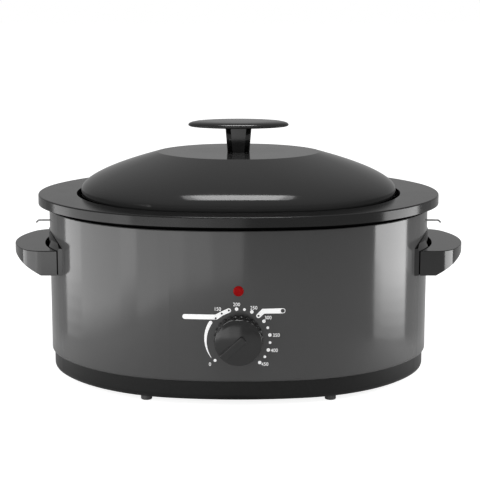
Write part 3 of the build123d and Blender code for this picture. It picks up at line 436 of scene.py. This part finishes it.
# %% [markdown]
# The groove round the lid and the gap under the pan's rim look like black lines, because they are
# narrow and little light comes back out of them. A dark filler piece could show that, but it would
# be in the way when the lid lifts. So shade is painted into two finishes, changing with height. The
# lid's enamel is painted a matt near black just below the pan's rim, and the body's paint gets the
# same painted shade on the lip that is turned in at its top.

# %% Paint shade into the groove and the gap
GROOVE_TOP = 173.3 * MM
GROOVE_FADE = 0.8 * MM
LIP_TOP = 159.8 * MM
LIP_FULL_SHADE = 0.15 * MM        # from the top the paint is all painted shade down to here
LIP_NO_SHADE = 0.4 * MM        # and below here it is all glossy, with no painted shade


def paint_shade_band(material, shade_from, lit_from, colour):
    """Paint shade onto a finish: a matt dark colour, with the change between two heights."""
    tree = material.node_tree
    place = tree.nodes.new("ShaderNodeTexCoord")
    split = tree.nodes.new("ShaderNodeSeparateXYZ")
    above = tree.nodes.new("ShaderNodeMapRange")
    above.inputs["From Min"].default_value = shade_from
    above.inputs["From Max"].default_value = lit_from
    matt = tree.nodes.new("ShaderNodeBsdfDiffuse")
    matt.inputs["Color"].default_value = (*colour, 1.0)
    both = tree.nodes.new("ShaderNodeMixShader")
    tree.links.new(place.outputs["Object"], split.inputs["Vector"])
    tree.links.new(split.outputs["Z"], above.inputs["Value"])
    tree.links.new(above.outputs["Result"], both.inputs["Fac"])
    tree.links.new(matt.outputs[0], both.inputs[1])
    tree.links.new(tree.nodes["Principled BSDF"].outputs[0], both.inputs[2])
    tree.links.new(both.outputs[0], tree.nodes["Material Output"].inputs["Surface"])


# Painted shade: below the groove's top the lid's enamel is painted a matt near black, and so is the body's
# paint on its lip.
paint_shade_band(lid_enamel, GROOVE_TOP - GROOVE_FADE, GROOVE_TOP, grey(0.004))
paint_shade_band(body_paint, LIP_TOP - LIP_FULL_SHADE, LIP_TOP - LIP_NO_SHADE, grey(0.003))
print("lid dull below", GROOVE_TOP, "m, body dull at", LIP_TOP, "m")

# %% [markdown]
# Moulded plastic comes in two finishes outside. Base and gland have the fine satin grain of an
# etched mould, while knob, dial, grips and their pads are polished. The block inside, which holds the
# wires, is a pale plastic that stands heat. The mould's grain could be real geometry, but it is a
# thousandth of a millimetre deep, so bump is enough.

# %% Plastics
base_plastic, shader = start_finish("base_plastic", grey(0.010), 0.30, specular=0.25)
vary_colour(base_plastic, shader, noise_of(base_plastic, 2 * MM), grey(0.009), grey(0.011))
vary_roughness(base_plastic, shader, noise_of(base_plastic, 40 * MM), 0.29, 0.32)
add_bump(base_plastic, shader, noise_of(base_plastic, 0.3 * MM), 0.001 * MM)

grip_plastic, shader = start_finish("grip_plastic", grey(0.009), 0.14, specular=0.65)
vary_colour(grip_plastic, shader, noise_of(grip_plastic, 4 * MM), grey(0.008), grey(0.010))
vary_roughness(grip_plastic, shader, noise_of(grip_plastic, 40 * MM), 0.13, 0.15)
add_bump(grip_plastic, shader, noise_of(grip_plastic, 4 * MM), 0.0003 * MM)

block_plastic, shader = start_finish("block_plastic", (0.72, 0.68, 0.58), 0.45)
vary_colour(block_plastic, shader, noise_of(block_plastic, 3 * MM), (0.69, 0.64, 0.54), (0.74, 0.70, 0.60))
add_bump(block_plastic, shader, noise_of(block_plastic, 0.8 * MM), 0.01 * MM)
print(base_plastic.name, grip_plastic.name, block_plastic.name)

# %% [markdown]
# Screws, straps and wire hooks are bare or plated metal. Real metal isn't an even mirror: its grain
# scatters a little more light in one place than in the next. Each metal could be built by hand, but
# they differ only in two colours, a roughness and the size of the grain, so one helper makes all.

# %% Metals
PATCH_GRAINS = 4            # the colour changes over patches of a few grains
SMOOTHEST, ROUGHEST = 0.8, 1.25


def brushed_metal(name, dark, light, roughness, grain):
    """Bare metal with a fine grain in colour, roughness and bump."""
    material, shader = start_finish(name, light, roughness, metallic=1.0)
    vary_colour(material, shader, noise_of(material, grain * PATCH_GRAINS), dark, light)
    vary_roughness(material, shader, noise_of(material, grain), roughness * SMOOTHEST, roughness * ROUGHEST)
    add_bump(material, shader, noise_of(material, grain), 0.003 * MM)
    return material


zinc_steel = brushed_metal("zinc_steel", grey(0.52), grey(0.66), 0.32, 0.8 * MM)
well_sheet = brushed_metal("well_sheet", grey(0.42), grey(0.54), 0.42, 1.5 * MM)
band_foil = brushed_metal("band_foil", (0.34, 0.31, 0.27), (0.48, 0.45, 0.41), 0.5, 2.5 * MM)
brass = brushed_metal("brass", (0.62, 0.44, 0.18), (0.78, 0.60, 0.30), 0.28, 0.8 * MM)
chrome = brushed_metal("chrome", grey(0.42), grey(0.52), 0.08, 2 * MM)
print("metals", zinc_steel.name, well_sheet.name, band_foil.name, brass.name, chrome.name)

# %% [markdown]
# Rubber feet, glass wool, ceramic and woven sleeving are all matt and mottled, and their skin is
# rough enough to catch shadow, so a second helper makes these.

# %% Rubber, wool, ceramic and sleeving
MOTTLE_GRAINS = 3
FINE_DETAIL = 4.0


def dull_finish(name, dark, light, roughness, grain, relief):
    """A matt material with mottled colour and a rough skin."""
    material, shader = start_finish(name, light, roughness)
    vary_colour(material, shader, noise_of(material, grain * MOTTLE_GRAINS), dark, light)
    add_bump(material, shader, noise_of(material, grain, FINE_DETAIL), relief)
    return material


foot_rubber = dull_finish("foot_rubber", grey(0.08), grey(0.12), 0.75, 0.4 * MM, 0.02 * MM)
wool = dull_finish("wool", (0.66, 0.63, 0.50), (0.84, 0.82, 0.74), 0.95, 0.5 * MM, 0.5 * MM)
ceramic = dull_finish("ceramic", (0.80, 0.78, 0.70), (0.88, 0.86, 0.80), 0.6, 0.3 * MM, 0.01 * MM)
wire_cover = dull_finish("wire_cover", (0.66, 0.63, 0.57), (0.80, 0.78, 0.72), 0.85, 0.3 * MM, 0.05 * MM)
print(foot_rubber.name, wool.name, ceramic.name, wire_cover.name)

# %% [markdown]
# The signal lens is red plastic with a finely rippled face that hides the lamp behind it. A clear
# red would look nearly black while the lamp is off, so the lens is solid red with little gloss. The
# small lamp itself is tinted glass, which lets most of the light through.

# %% Lens and lamp
lens_red, shader = start_finish("lens_red", (0.34, 0.002, 0.003), 0.25, specular=0.08)
vary_colour(lens_red, shader, noise_of(lens_red, 1.0 * MM), (0.30, 0.001, 0.002), (0.38, 0.003, 0.004))
add_bump(lens_red, shader, noise_of(lens_red, 0.8 * MM), 0.03 * MM)

lamp_glass, shader = start_finish("lamp_glass", (0.95, 0.70, 0.45), 0.05)
shader.inputs["Transmission Weight"].default_value = 0.8
add_bump(lamp_glass, shader, noise_of(lamp_glass, 2 * MM), 0.01 * MM)
print(lens_red.name, lamp_glass.name)

# %% [markdown]
# ## Give every solid its finish
#
# The record names a material slot for each piece, and the slots carry the names of the finishes
# above. Each piece could be dressed by its own line, but one loop over the record can't forget one.

# %% Dress the solids
finishes = {
    material.name: material
    for material in (
        body_paint,
        base_plastic,
        foot_rubber,
        zinc_steel,
        well_enamel,
        well_sheet,
        band_foil,
        wool,
        pan_enamel,
        lid_enamel,
        grip_plastic,
        brass,
        chrome,
        lens_red,
        lamp_glass,
        ceramic,
        wire_cover,
        block_plastic,
    )
}
for subpart in frame["record"]["subparts"]:
    for material_slot in parts[subpart["node"]].material_slots:
        material_slot.material = finishes[subpart["material_slot"]]

# %% [markdown]
# ## The lid
#
# The lid is pressed from one sheet: a flat top, a dome, an upright skirt and a narrow brim. The solid
# lid is a loft through a dozen ovals, and gloss shows each of them as a faint crease. A smoothing
# modifier would hide the creases but blur the brim too, so the lid is drawn again here, with far more
# ovals. Each oval is eight arcs that meet without a corner: one at each end, four shoulders, and two
# long ones. An inset sheet then follows by making each arc's radius smaller.

# %% Ovals of the lid
ARC_POINTS = (20, 16, 20)   # points on half an end arc, on a shoulder, and on half a long arc
SKIRT_SHAPE = (149.2, 112.8, 2.938, 0.3023, 0.2116)
FLAT_SHAPE = (76.5, 55.4, 1.95, 1.2, 0.136)


def oval_points(shape, inset=0.0):
    """Points round an oval in millimetres, from its right end, moved in by inset.

    A shape is half the length, half the width, how flat the front is, how blunt the ends are, and how
    far out the long arcs reach.
    """
    half_length, half_width, front_power, end_power, slope = shape
    front_radius = half_length * (half_length / half_width) ** front_power
    end_radius = half_width * (half_width / half_length) ** end_power
    splay = math.atan2(slope * half_width, half_length)
    outward = Vector((math.sin(splay), math.cos(splay)))
    front = Vector((0.0, half_width - front_radius))
    end = Vector((half_length - end_radius, 0.0))
    reach = front + outward * front_radius - end
    radius = (reach.dot(reach) - end_radius**2) / (2 * (reach.dot(outward) - end_radius))
    shoulder = front + outward * (front_radius - radius)
    end_turn = math.atan2(end.y - shoulder.y, end.x - shoulder.x)
    stops = (0.0, end_turn, math.pi / 2 - splay, math.pi / 2)
    quarter = []
    for (centre, size), start, stop, steps in zip(
        ((end, end_radius), (shoulder, radius), (front, front_radius)), stops, stops[1:], ARC_POINTS
    ):
        for step in range(steps):
            turn = start + (stop - start) * step / steps
            quarter.append(centre + Vector((math.cos(turn), math.sin(turn))) * (size - inset))
    top = front + Vector((0.0, front_radius - inset))
    left_back = [Vector((-point.x, point.y)) for point in quarter[:0:-1]]
    left = Vector((-quarter[0].x, 0.0))
    back = quarter + [top] + left_back
    return back + [left] + [Vector((point.x, -point.y)) for point in back[:0:-1]]


print(len(oval_points(SKIRT_SHAPE)), "points round the lid")

# %% [markdown]
# A list of ovals with their heights says where the sheet goes: from the screw hole over the flat
# top, down the dome and the skirt, round the brim, and back up inside at the thickness of the sheet.
# Two shells could be made and joined instead, but one list keeps the thickness the same all over.

# %% Levels of the lid
LEDGE = 165.49              # heights in millimetres above the table
SKIRT_TOP = 177.99
DOME_RISE = 34.0
DOME_POWER = 0.6            # the dome climbs fast at first and flattens towards the top
DOME_STEPS = 36
SHEET = 1.2
BRIM = 3.6
SCREW_HOLE = 2.55


def dome_levels(inset, drop):
    """Ovals from the flat top down to the skirt, with their heights, closer together further down."""
    levels = []
    for step in range(DOME_STEPS, -1, -1):
        fraction = (step / DOME_STEPS) ** 2
        shape = [start + (end - start) * fraction for start, end in zip(SKIRT_SHAPE, FLAT_SHAPE)]
        height = SKIRT_TOP - drop + DOME_RISE * fraction**DOME_POWER
        levels.append((oval_points(shape, inset), height))
    return levels


flat_top = SKIRT_TOP + DOME_RISE
hole = [point.normalized() * SCREW_HOLE for point in oval_points(FLAT_SHAPE)]
outside = dome_levels(0.0, 0.0)
inside = dome_levels(SHEET, SHEET)
brim_edge = [
    (oval_points(SKIRT_SHAPE), LEDGE + SHEET),
    (oval_points(SKIRT_SHAPE, -BRIM), LEDGE + SHEET),
    (oval_points(SKIRT_SHAPE, -BRIM), LEDGE),
    (oval_points(SKIRT_SHAPE, SHEET), LEDGE),
]
lid_levels = [(hole, flat_top)] + outside + brim_edge + inside[::-1] + [(hole, flat_top - SHEET)]
lid_corners = [0, 1, *range(len(outside) + 1, len(outside) + 5), -2, -1]
print(len(lid_levels), "levels, the highest at", flat_top, "mm")

# %% [markdown]
# One helper turns such a list into a mesh. It starts with a circle, extrudes its edges once for each
# level, and moves the new ring's corners to their places. Lists of corners and faces would do too,
# but then the four corners of every face would have to be counted out. The same helper makes the
# knob's cap and the dial further down.

# %% Stack rings


def ring_edges(bm, ring):
    """The edges of a ring, in order."""
    return [bm.edges.get((ring[at - 1], vert)) for at, vert in enumerate(ring)]


def place_ring(ring, points, height):
    """Put the corners of a ring at new places, given in millimetres."""
    for vert, point in zip(ring, points):
        vert.co = Vector((point.x, point.y, height)) * MM


def stack_rings(bm, levels):
    """Extrude a ring of edges from level to level and return all the rings."""
    points, height = levels[0]
    rings = [bmesh.ops.create_circle(bm, segments=len(points), radius=1.0)["verts"]]
    place_ring(rings[0], points, height)
    for points, height in levels[1:]:
        order = {vert: at for at, vert in enumerate(rings[-1])}
        grown = bmesh.ops.extrude_edge_only(bm, edges=ring_edges(bm, rings[-1]))["geom"]
        new_ring = [None] * len(order)
        for vert in (item for item in grown if isinstance(item, bmesh.types.BMVert)):
            for edge in vert.link_edges:
                if edge.other_vert(vert) in order:
                    new_ring[order[edge.other_vert(vert)]] = vert
        place_ring(new_ring, points, height)
        rings.append(new_ring)
    return rings


def sharpen(bm, rings):
    """Let rings show as crisp corners on a smooth surface."""
    for ring in rings:
        for edge in ring_edges(bm, ring):
            edge.smooth = False


print("ready to stack", len(lid_levels), "rings of", len(hole), "points")

# %% [markdown]
# The lid's sheet ends where it began, at the screw hole, so its last ring is bridged to its first.
# Smooth shading runs over the whole sheet, except at the rings that are real corners, whose edges
# are marked sharp.

# %% Stack the lid
bm = bmesh.new()
rings = stack_rings(bm, lid_levels)
bmesh.ops.bridge_loops(bm, edges=ring_edges(bm, rings[0]) + ring_edges(bm, rings[-1]))
for face in bm.faces:
    face.smooth = True
sharpen(bm, [rings[corner] for corner in lid_corners])
bmesh.ops.recalc_face_normals(bm, faces=bm.faces[:])
smooth_lid = new_piece("smooth_lid", bm)
smooth_lid.data.materials.append(lid_enamel)
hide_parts("lid")
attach(smooth_lid, "lid")
print("lid has", len(smooth_lid.data.polygons), "faces")

# %% [markdown]
# ## The lid's knob
#
# The knob is an oval cap on a tapered post. The cap could be a bevelled disc, but its top is almost
# flat and rolls over into a thin edge, and that roll draws the dark line along its front. So it is
# stacked from rings as the lid is: round levels that are half as wide as they are long.

# %% Stack the cap
CAP_LENGTH = 47.5           # half lengths in millimetres
CAP_WIDTH = 24.0
CAP_POINTS = 96
CAP_LEVELS = (              # half length, height above the lid's flat top
    [(1.5, 29.1), (30.0, 29.05), (36.0, 28.9), (41.0, 28.5), (44.5, 27.8)]
    + [(46.5, 27.0), (47.3, 26.1), (47.5, 25.2), (47.1, 24.5), (46.0, 24.0)]
    + [(42.0, 23.7), (36.0, 23.5), (24.0, 23.3), (1.5, 23.2)]
)


def cap_ring(radius):
    """Points on one level of the oval cap."""
    turns = [2 * math.pi * at / CAP_POINTS for at in range(CAP_POINTS)]
    return [Vector((radius * math.cos(t), radius * math.sin(t) * CAP_WIDTH / CAP_LENGTH)) for t in turns]


def close_rings(bm, rings):
    """Fill each ring with one flat face."""
    for ring in rings:
        bmesh.ops.edgeloop_fill(bm, edges=ring_edges(bm, ring))


bm = bmesh.new()
cap_rings = stack_rings(bm, [(cap_ring(radius), flat_top + height) for radius, height in CAP_LEVELS])
close_rings(bm, [cap_rings[0], cap_rings[-1]])
for face in bm.faces:
    face.smooth = True
print("cap has", len(bm.faces), "faces")

# %% [markdown]
# The post is moulded with the cap. It is a box that widens towards the cap, so the box's upper
# corners are moved out, and its four upright edges are rounded with a bevel.

# %% Raise the post
POST_FOOT = (21.0, 17.0)
POST_HEAD = (24.8, 20.0)
POST_TOP = 24.0
POST_CORNER = 5.0
POST_STEPS = 8


def upright_edges(corners):
    """The upright edges of a box, from its corners."""
    edges = dict.fromkeys(edge for vert in corners for edge in vert.link_edges)
    return [edge for edge in edges if abs(edge.verts[0].co.z - edge.verts[1].co.z) > 1 * MM]


def round_edges(bm, edges, offset, steps):
    """Round edges by offset millimetres and return the new faces."""
    return bmesh.ops.bevel(
        bm, geom=edges, offset=offset * MM, segments=steps, profile=0.5, affect="EDGES", material=-1
    )["faces"]


post_place = Matrix.Translation((0.0, 0.0, flat_top + POST_TOP / 2))
post_place @= Matrix.Diagonal((*POST_FOOT, POST_TOP, 1.0))
post = bmesh.ops.create_cube(bm, size=1.0, matrix=Matrix.Scale(MM, 4) @ post_place)["verts"]
for vert in post:
    if vert.co.z > (flat_top + POST_TOP / 2) * MM:
        vert.co.x *= POST_HEAD[0] / POST_FOOT[0]
        vert.co.y *= POST_HEAD[1] / POST_FOOT[1]
for face in round_edges(bm, upright_edges(post), POST_CORNER, POST_STEPS):
    face.smooth = True
bmesh.ops.recalc_face_normals(bm, faces=bm.faces[:])
smooth_knob = new_piece("smooth_knob", bm)
smooth_knob.data.materials.append(grip_plastic)
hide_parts("lid_handle")
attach(smooth_knob, "lid")
print("knob has", len(smooth_knob.data.polygons), "faces")

# %% [markdown]
# ## The dial
#
# The dial has a skirt that is fluted for the fingers, a wall that is a slight cone, and a face that
# is a little domed, so that it mirrors a wide piece of the room. Flutes could be cut out with a
# boolean, but that leaves ragged shading. Here they are part of each ring's outline, and the dial is
# stacked like the lid. It is made lying down, with its axis up.

# %% Outline with flutes
DIAL_POINTS = 240
FLUTES = 24


def fluted_circle(radius, depth=0.0):
    """Points on a circle with round flutes that are depth deep."""
    points = []
    for at in range(DIAL_POINTS):
        turn = 2 * math.pi * at / DIAL_POINTS
        dip = depth * math.sqrt(max(0.0, math.cos(FLUTES * turn)))
        points.append(Vector((math.cos(turn), math.sin(turn))) * (radius - dip))
    return points


print(FLUTES, "flutes of", DIAL_POINTS // FLUTES, "points")

# %% [markdown]
# The levels go from the hollow inside to the back, up the fluted skirt, in to the wall, up the cone,
# round the edge, and over the domed face to its middle.

# %% Levels of the dial
DIAL_RADIUS = 22.0          # millimetres
FLUTE_DEPTH = 1.1
SKIRT = 5.0
SKIRT_BEVEL = 0.6
WALL_SLOPE = 0.1            # how much the wall narrows towards the face
FACE_RADIUS = 20.8
FACE_CROWN = 2.4            # how much lower the face's edge is than its middle
FACE_MIDDLE = 16.3          # from the dial's back
FACE_STEPS = 12
LAST_RADIUS = 0.4           # of the small flat spot in the middle
EDGE_RADIUS = 1.0
EDGE_STEPS = 6
INNER_RADIUS = 18.7
INNER_DEPTH = 12.9


def face_height(radius):
    """Height of the domed face above the dial's back at a radius."""
    return FACE_MIDDLE - FACE_CROWN * (radius / FACE_RADIUS) ** 2


edge_base = face_height(FACE_RADIUS) - EDGE_RADIUS
dial_levels = [
    (fluted_circle(INNER_RADIUS), INNER_DEPTH),
    (fluted_circle(INNER_RADIUS), 0.0),
    (fluted_circle(DIAL_RADIUS, FLUTE_DEPTH), 0.0),
    (fluted_circle(DIAL_RADIUS, FLUTE_DEPTH), SKIRT - SKIRT_BEVEL),
    (fluted_circle(DIAL_RADIUS - SKIRT_BEVEL, FLUTE_DEPTH - SKIRT_BEVEL), SKIRT),
    (fluted_circle(FACE_RADIUS + WALL_SLOPE), SKIRT),
    (fluted_circle(FACE_RADIUS), edge_base),
]
dial_corners = [0, 1, 2, 4, 5]
for step in range(1, EDGE_STEPS + 1):
    lean = math.pi / 2 * step / EDGE_STEPS
    radius = FACE_RADIUS - EDGE_RADIUS * (1 - math.cos(lean))
    dial_levels.append((fluted_circle(radius), edge_base + EDGE_RADIUS * math.sin(lean)))
for step in range(1, FACE_STEPS + 1):
    radius = (FACE_RADIUS - EDGE_RADIUS) * (1 - step / FACE_STEPS) + LAST_RADIUS
    dial_levels.append((fluted_circle(radius), face_height(radius)))
print(len(dial_levels), "levels of the dial")

# %% Stack the dial
bm = bmesh.new()
dial_rings = stack_rings(bm, dial_levels)
close_rings(bm, [dial_rings[0], dial_rings[-1]])
for face in bm.faces:
    face.smooth = len(face.verts) == 4
sharpen(bm, [dial_rings[corner] for corner in dial_corners])
print("dial without its pointer has", len(bm.faces), "faces")

# %% [markdown]
# The pointer is a raised bar across the face that the fingers turn. It reaches from past the middle
# out to the edge. It could be extruded from the face's own polygons, but they run in rings and not
# along the bar, so it is a box that sinks into the face. Its corners are round, and so is its top
# edge, which catches a thin line of light.

# %% Raise the pointer and stand the dial up
DIAL_BACK = -130.47         # millimetres along Y from the middle of the oven
DIAL_HEIGHT = 62.5
POINTER_TIP = 19.6          # from the dial's axis
POINTER_TAIL = 7.0
POINTER_WIDTH = 7.0
POINTER_TOP = 18.95
POINTER_ANGLE = 222.3
POINTER_CORNER = 1.6
POINTER_EDGE = 0.9
POINTER_STEPS = 4
SAME_LEVEL = 0.01           # corners within this of the bar's top belong to it

bar_size = (POINTER_TIP + POINTER_TAIL, POINTER_WIDTH, POINTER_TOP - edge_base)
bar_middle = ((POINTER_TIP - POINTER_TAIL) / 2, 0.0, (POINTER_TOP + edge_base) / 2)
bar_place = Matrix.Rotation(math.radians(POINTER_ANGLE), 4, "Z")
bar_place @= Matrix.Translation(bar_middle) @ Matrix.Diagonal((*bar_size, 1.0))
bar = bmesh.ops.create_cube(bm, size=1.0, matrix=Matrix.Scale(MM, 4) @ bar_place)["verts"]
top_edges = dict.fromkeys(
    edge
    for face in round_edges(bm, upright_edges(bar), POINTER_CORNER, POINTER_STEPS)
    for vert in face.verts
    for edge in vert.link_edges
    if min(end.co.z for end in edge.verts) > (POINTER_TOP - SAME_LEVEL) * MM
)
round_edges(bm, list(top_edges), POINTER_EDGE, POINTER_STEPS)

bmesh.ops.recalc_face_normals(bm, faces=bm.faces[:])
stand_up = Matrix.Translation((0.0, DIAL_BACK * MM, DIAL_HEIGHT * MM)) @ Matrix.Rotation(math.pi / 2, 4, "X")
bmesh.ops.transform(bm, matrix=stand_up, verts=bm.verts[:])
smooth_dial = new_piece("smooth_dial", bm)
smooth_dial.data.materials.append(grip_plastic)
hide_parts("dial_knob")
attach(smooth_dial, "dial")
print("dial has", len(smooth_dial.data.polygons), "faces")

# %% [markdown]
# ## The dial's print
#
# Round the dial the wall carries a ring of white marks. The heat rises by the same angle for every
# 25 degrees, and from 200 on each fifty has a large dot and a number. The marks could be an image
# laid on the wall, but as outlines they stay sharp, and each sits at an angle that is worked out from
# its heat. All of them are drawn flat first, in millimetres.

# %% Dots on the ring
RING_MIDDLE = 61.6          # height of the print's own middle
RING_RADIUS = 28.1
MARK_200 = 93.4             # angle of the 200 mark, from +X towards +Z
MARK_STEP = 14.12           # from one mark to the next
OFF_MARK = 222.3
DOTS = {1.55: (200, 250, 300, 350, 400, 450), 1.2: (225, 325, 375, 425)}    # radius: heats
OFF_DOT = 1.3


def on_ring(angle, radius=RING_RADIUS):
    """A place on a ring round the dial, in the wall's flat drawing."""
    turn = math.radians(angle)
    return (radius * math.cos(turn), RING_MIDDLE + radius * math.sin(turn))


def mark(heat):
    """The place of a heat on the ring."""
    return on_ring(MARK_200 - (heat - 200) / 25 * MARK_STEP)


def disc(middle, radius, steps=32):
    """A closed round outline."""
    turns = [2 * math.pi * step / steps for step in range(steps)]
    return [(middle[0] + radius * math.cos(t), middle[1] + radius * math.sin(t)) for t in turns]


outlines = [disc(mark(heat), radius) for radius, heats in DOTS.items() for heat in heats]
outlines.append(disc(on_ring(OFF_MARK), OFF_DOT))
print(len(outlines), "dots round the dial")

# %% [markdown]
# A bar with three small holes marks the gentle heat, another bar marks one place between two
# numbers, and a tapered arc leads from the off mark up to them. All three are ribbons: a path of
# points with a width at each. Blender can make a curve thick, but its ends would be square and it
# could have no holes, so a helper works out the outline instead.

# %% Ribbons
SHARPEST_BEND = 0.5         # keeps a ribbon from growing too wide at a bend


def round_end(middle, way, width, steps=10):
    """Points of a round end, from the left of the way to its right."""
    start = math.atan2(way.x, -way.y)
    turns = [start - math.pi * step / steps for step in range(1, steps)]
    return [(middle.x + width / 2 * math.cos(t), middle.y + width / 2 * math.sin(t)) for t in turns]


def ribbon(path, widths):
    """A closed outline round a path of points, with its own width at each and round ends."""
    points = [Vector(point) for point in path]
    ways = [(after - before).normalized() for before, after in zip(points, points[1:])]
    left, right = [], []
    for at, point in enumerate(points):
        way = (ways[max(at - 1, 0)] + ways[min(at, len(ways) - 1)]).normalized()
        lean = max(way.dot(ways[min(at, len(ways) - 1)]), SHARPEST_BEND)
        side = Vector((-way.y, way.x)) * (widths[at] / 2 / lean)
        left.append(tuple(point + side))
        right.append(tuple(point - side))
    far_end = round_end(points[-1], ways[-1], widths[-1])
    return left + far_end + right[::-1] + round_end(points[0], -ways[0], widths[0])


print("a short ribbon has", len(ribbon([(0.0, 0.0), (2.0, 0.0)], [1.0, 1.0])), "points")

# %% [markdown]
# Each bar bends where it meets the ring. Its holes need no cutting, because a filled curve leaves an
# outline empty that lies inside another.

# %% Bars
BAR_HOLE = 0.95
WARM_BAR = [(-47.4, 82.2), (-19.6, 82.3)]
WARM_WIDTHS = [4.4, 4.4, 3.9, 3.8]
LOW_BEND = (21.9, 87.6)
LOW_END = (39.1, 87.6)
LOW_WIDTHS = [4.0, 4.3, 4.6]
LOW_END_HOLE = 1.85

warm_marks = [mark(heat) for heat in (125, 150, 175)]
outlines.append(ribbon(WARM_BAR + warm_marks[1:], WARM_WIDTHS))
outlines += [disc(place, BAR_HOLE) for place in warm_marks]

low_mark = mark(275)
outlines.append(ribbon([low_mark, LOW_BEND, LOW_END], LOW_WIDTHS))
outlines += [disc(low_mark, BAR_HOLE), disc(LOW_END, LOW_END_HOLE)]
print(len(outlines), "outlines with the bars")

# %% [markdown]
# The arc runs a little outside the ring of dots and thins out towards the off mark, slowly at first.

# %% Arc
ARC_STEPS = 24
ARC_RADIUS = 29.2
ARC_FROM, ARC_TO = 147.5, 214.0
ARC_WIDTH = 3.1
ARC_TAPER = 2.8             # how much narrower the arc is at its far end
ARC_TAPER_POWER = 1.4

fractions = [step / ARC_STEPS for step in range(ARC_STEPS + 1)]
arc = [on_ring(ARC_FROM + (ARC_TO - ARC_FROM) * part, ARC_RADIUS) for part in fractions]
outlines.append(ribbon(arc, [ARC_WIDTH - ARC_TAPER * part**ARC_TAPER_POWER for part in fractions]))
print(len(outlines), "outlines in all")

# %% [markdown]
# The outlines become one flat filled curve, as thick as a coat of paint. A mesh is easier to bend
# onto a wall than a curve is, so a helper turns the curve into one.

# %% Fill the outlines
PAINT_THICKNESS = 0.08


def flat_mesh(data, name):
    """The filled mesh of a curve or text, whose own object is thrown away."""
    drawing = bpy.data.objects.new(name, data)
    bpy.context.scene.collection.objects.link(drawing)
    bpy.context.view_layer.update()
    seen = drawing.evaluated_get(bpy.context.evaluated_depsgraph_get())
    mesh = bpy.data.meshes.new_from_object(seen)
    bpy.data.objects.remove(drawing)
    return mesh


shapes = bpy.data.curves.new("dial_marks", "CURVE")
shapes.dimensions = "2D"
shapes.fill_mode = "BOTH"
shapes.extrude = PAINT_THICKNESS / 2
for outline in outlines:
    spline = shapes.splines.new("POLY")
    spline.points.add(len(outline) - 1)
    for point, (x, z) in zip(spline.points, outline):
        point.co = (x, z, 0.0, 1.0)
    spline.use_cyclic_u = True

bm = bmesh.new()
bm.from_mesh(flat_mesh(shapes, "dial_marks"))
print(len(outlines), "outlines filled")

# %% [markdown]
# The numbers come from Blender's own plain typeface. Each becomes a mesh before it gets its place,
# so that the place is in the mesh itself.

# %% Set the numbers
NUMBER_SIZE = 4.5
NUMBER_SQUEEZE = 0.95       # the numbers are a little narrower than the typeface
NUMBERS = {
    "0": (-25.3, 39.0),
    "150": (-18.5, 89.4),
    "200": (-1.7, 93.7),
    "250": (13.5, 90.6),
    "300": (26.1, 81.5),
    "350": (33.4, 65.4),
    "400": (31.8, 51.5),
    "450": (23.4, 39.1),
}

for words, (x, z) in NUMBERS.items():
    text = bpy.data.curves.new("number_" + words, "FONT")
    text.body = words
    text.size = NUMBER_SIZE
    text.align_x = "CENTER"
    text.align_y = "CENTER"
    text.extrude = PAINT_THICKNESS / 2
    number_mesh = flat_mesh(text, "number_" + words)
    squeeze = Matrix.Diagonal((NUMBER_SQUEEZE, 1.0, 1.0, 1.0))
    number_mesh.transform(Matrix.Translation((x, z, 0.0)) @ squeeze)
    bm.from_mesh(number_mesh)
print(len(NUMBERS), "numbers set")

# %% [markdown]
# The flat print now has to lie on the curved wall. A shrinkwrap would need a wall that is smooth
# everywhere, and it has the dial's hole in it. The wall's front is one arc, so its depth at any
# place is known. The print is cut into upright strips, so that it can bend, and each corner is then
# moved back onto the arc.

# %% Bend the print onto the wall
RIM_SHAPE = (190.0, 139.6, 2.0553)      # half length, half width and power of the pan rim's front
WALL_INSET = 10.13                      # from the rim in to the body's wall
STRIP = 2.5                             # how wide each strip of the print is
STRIPS_EACH_SIDE = 20
SAME_PLACE = 0.002                      # corners this near to each other become one

half_length, half_width, power = RIM_SHAPE
rim_radius = half_length * (half_length / half_width) ** power
wall_radius = rim_radius - WALL_INSET


def wall_front(x):
    """How far the front wall is from the middle plane at x, in millimetres."""
    return half_width - rim_radius + math.sqrt(wall_radius**2 - x**2)


bmesh.ops.remove_doubles(bm, verts=bm.verts[:], dist=SAME_PLACE)
for strip in range(-STRIPS_EACH_SIDE, STRIPS_EACH_SIDE):
    everything = bm.verts[:] + bm.edges[:] + bm.faces[:]
    bmesh.ops.bisect_plane(bm, geom=everything, plane_co=(strip * STRIP, 0, 0), plane_no=(1, 0, 0))
for vert in bm.verts:
    x, z, out = vert.co
    vert.co = Vector((x, -wall_front(x) - out - PAINT_THICKNESS / 4, z)) * MM
bmesh.ops.recalc_face_normals(bm, faces=bm.faces[:])
print("wall", wall_front(0.0), "mm in front of the middle")

# %% [markdown]
# The paint is a dense screen print, whiter than anything else on the oven. Under soft light a plain
# white would come out pale grey, so the print glows faintly, as much as its whiteness needs.

# %% White print
PRINT_GLOW = 0.30

print_white, shader = start_finish("print_white", grey(0.97), 0.45, specular=0.4)
shader.inputs["Emission Color"].default_value = WHITE
shader.inputs["Emission Strength"].default_value = PRINT_GLOW
vary_colour(print_white, shader, noise_of(print_white, 0.4 * MM), grey(0.95), grey(0.99))
add_bump(print_white, shader, noise_of(print_white, 0.2 * MM), 0.004 * MM)
dial_print = new_piece("dial_print", bm)
dial_print.data.materials.append(print_white)
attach(dial_print, "root")
print("print has", len(dial_print.data.polygons), "faces")
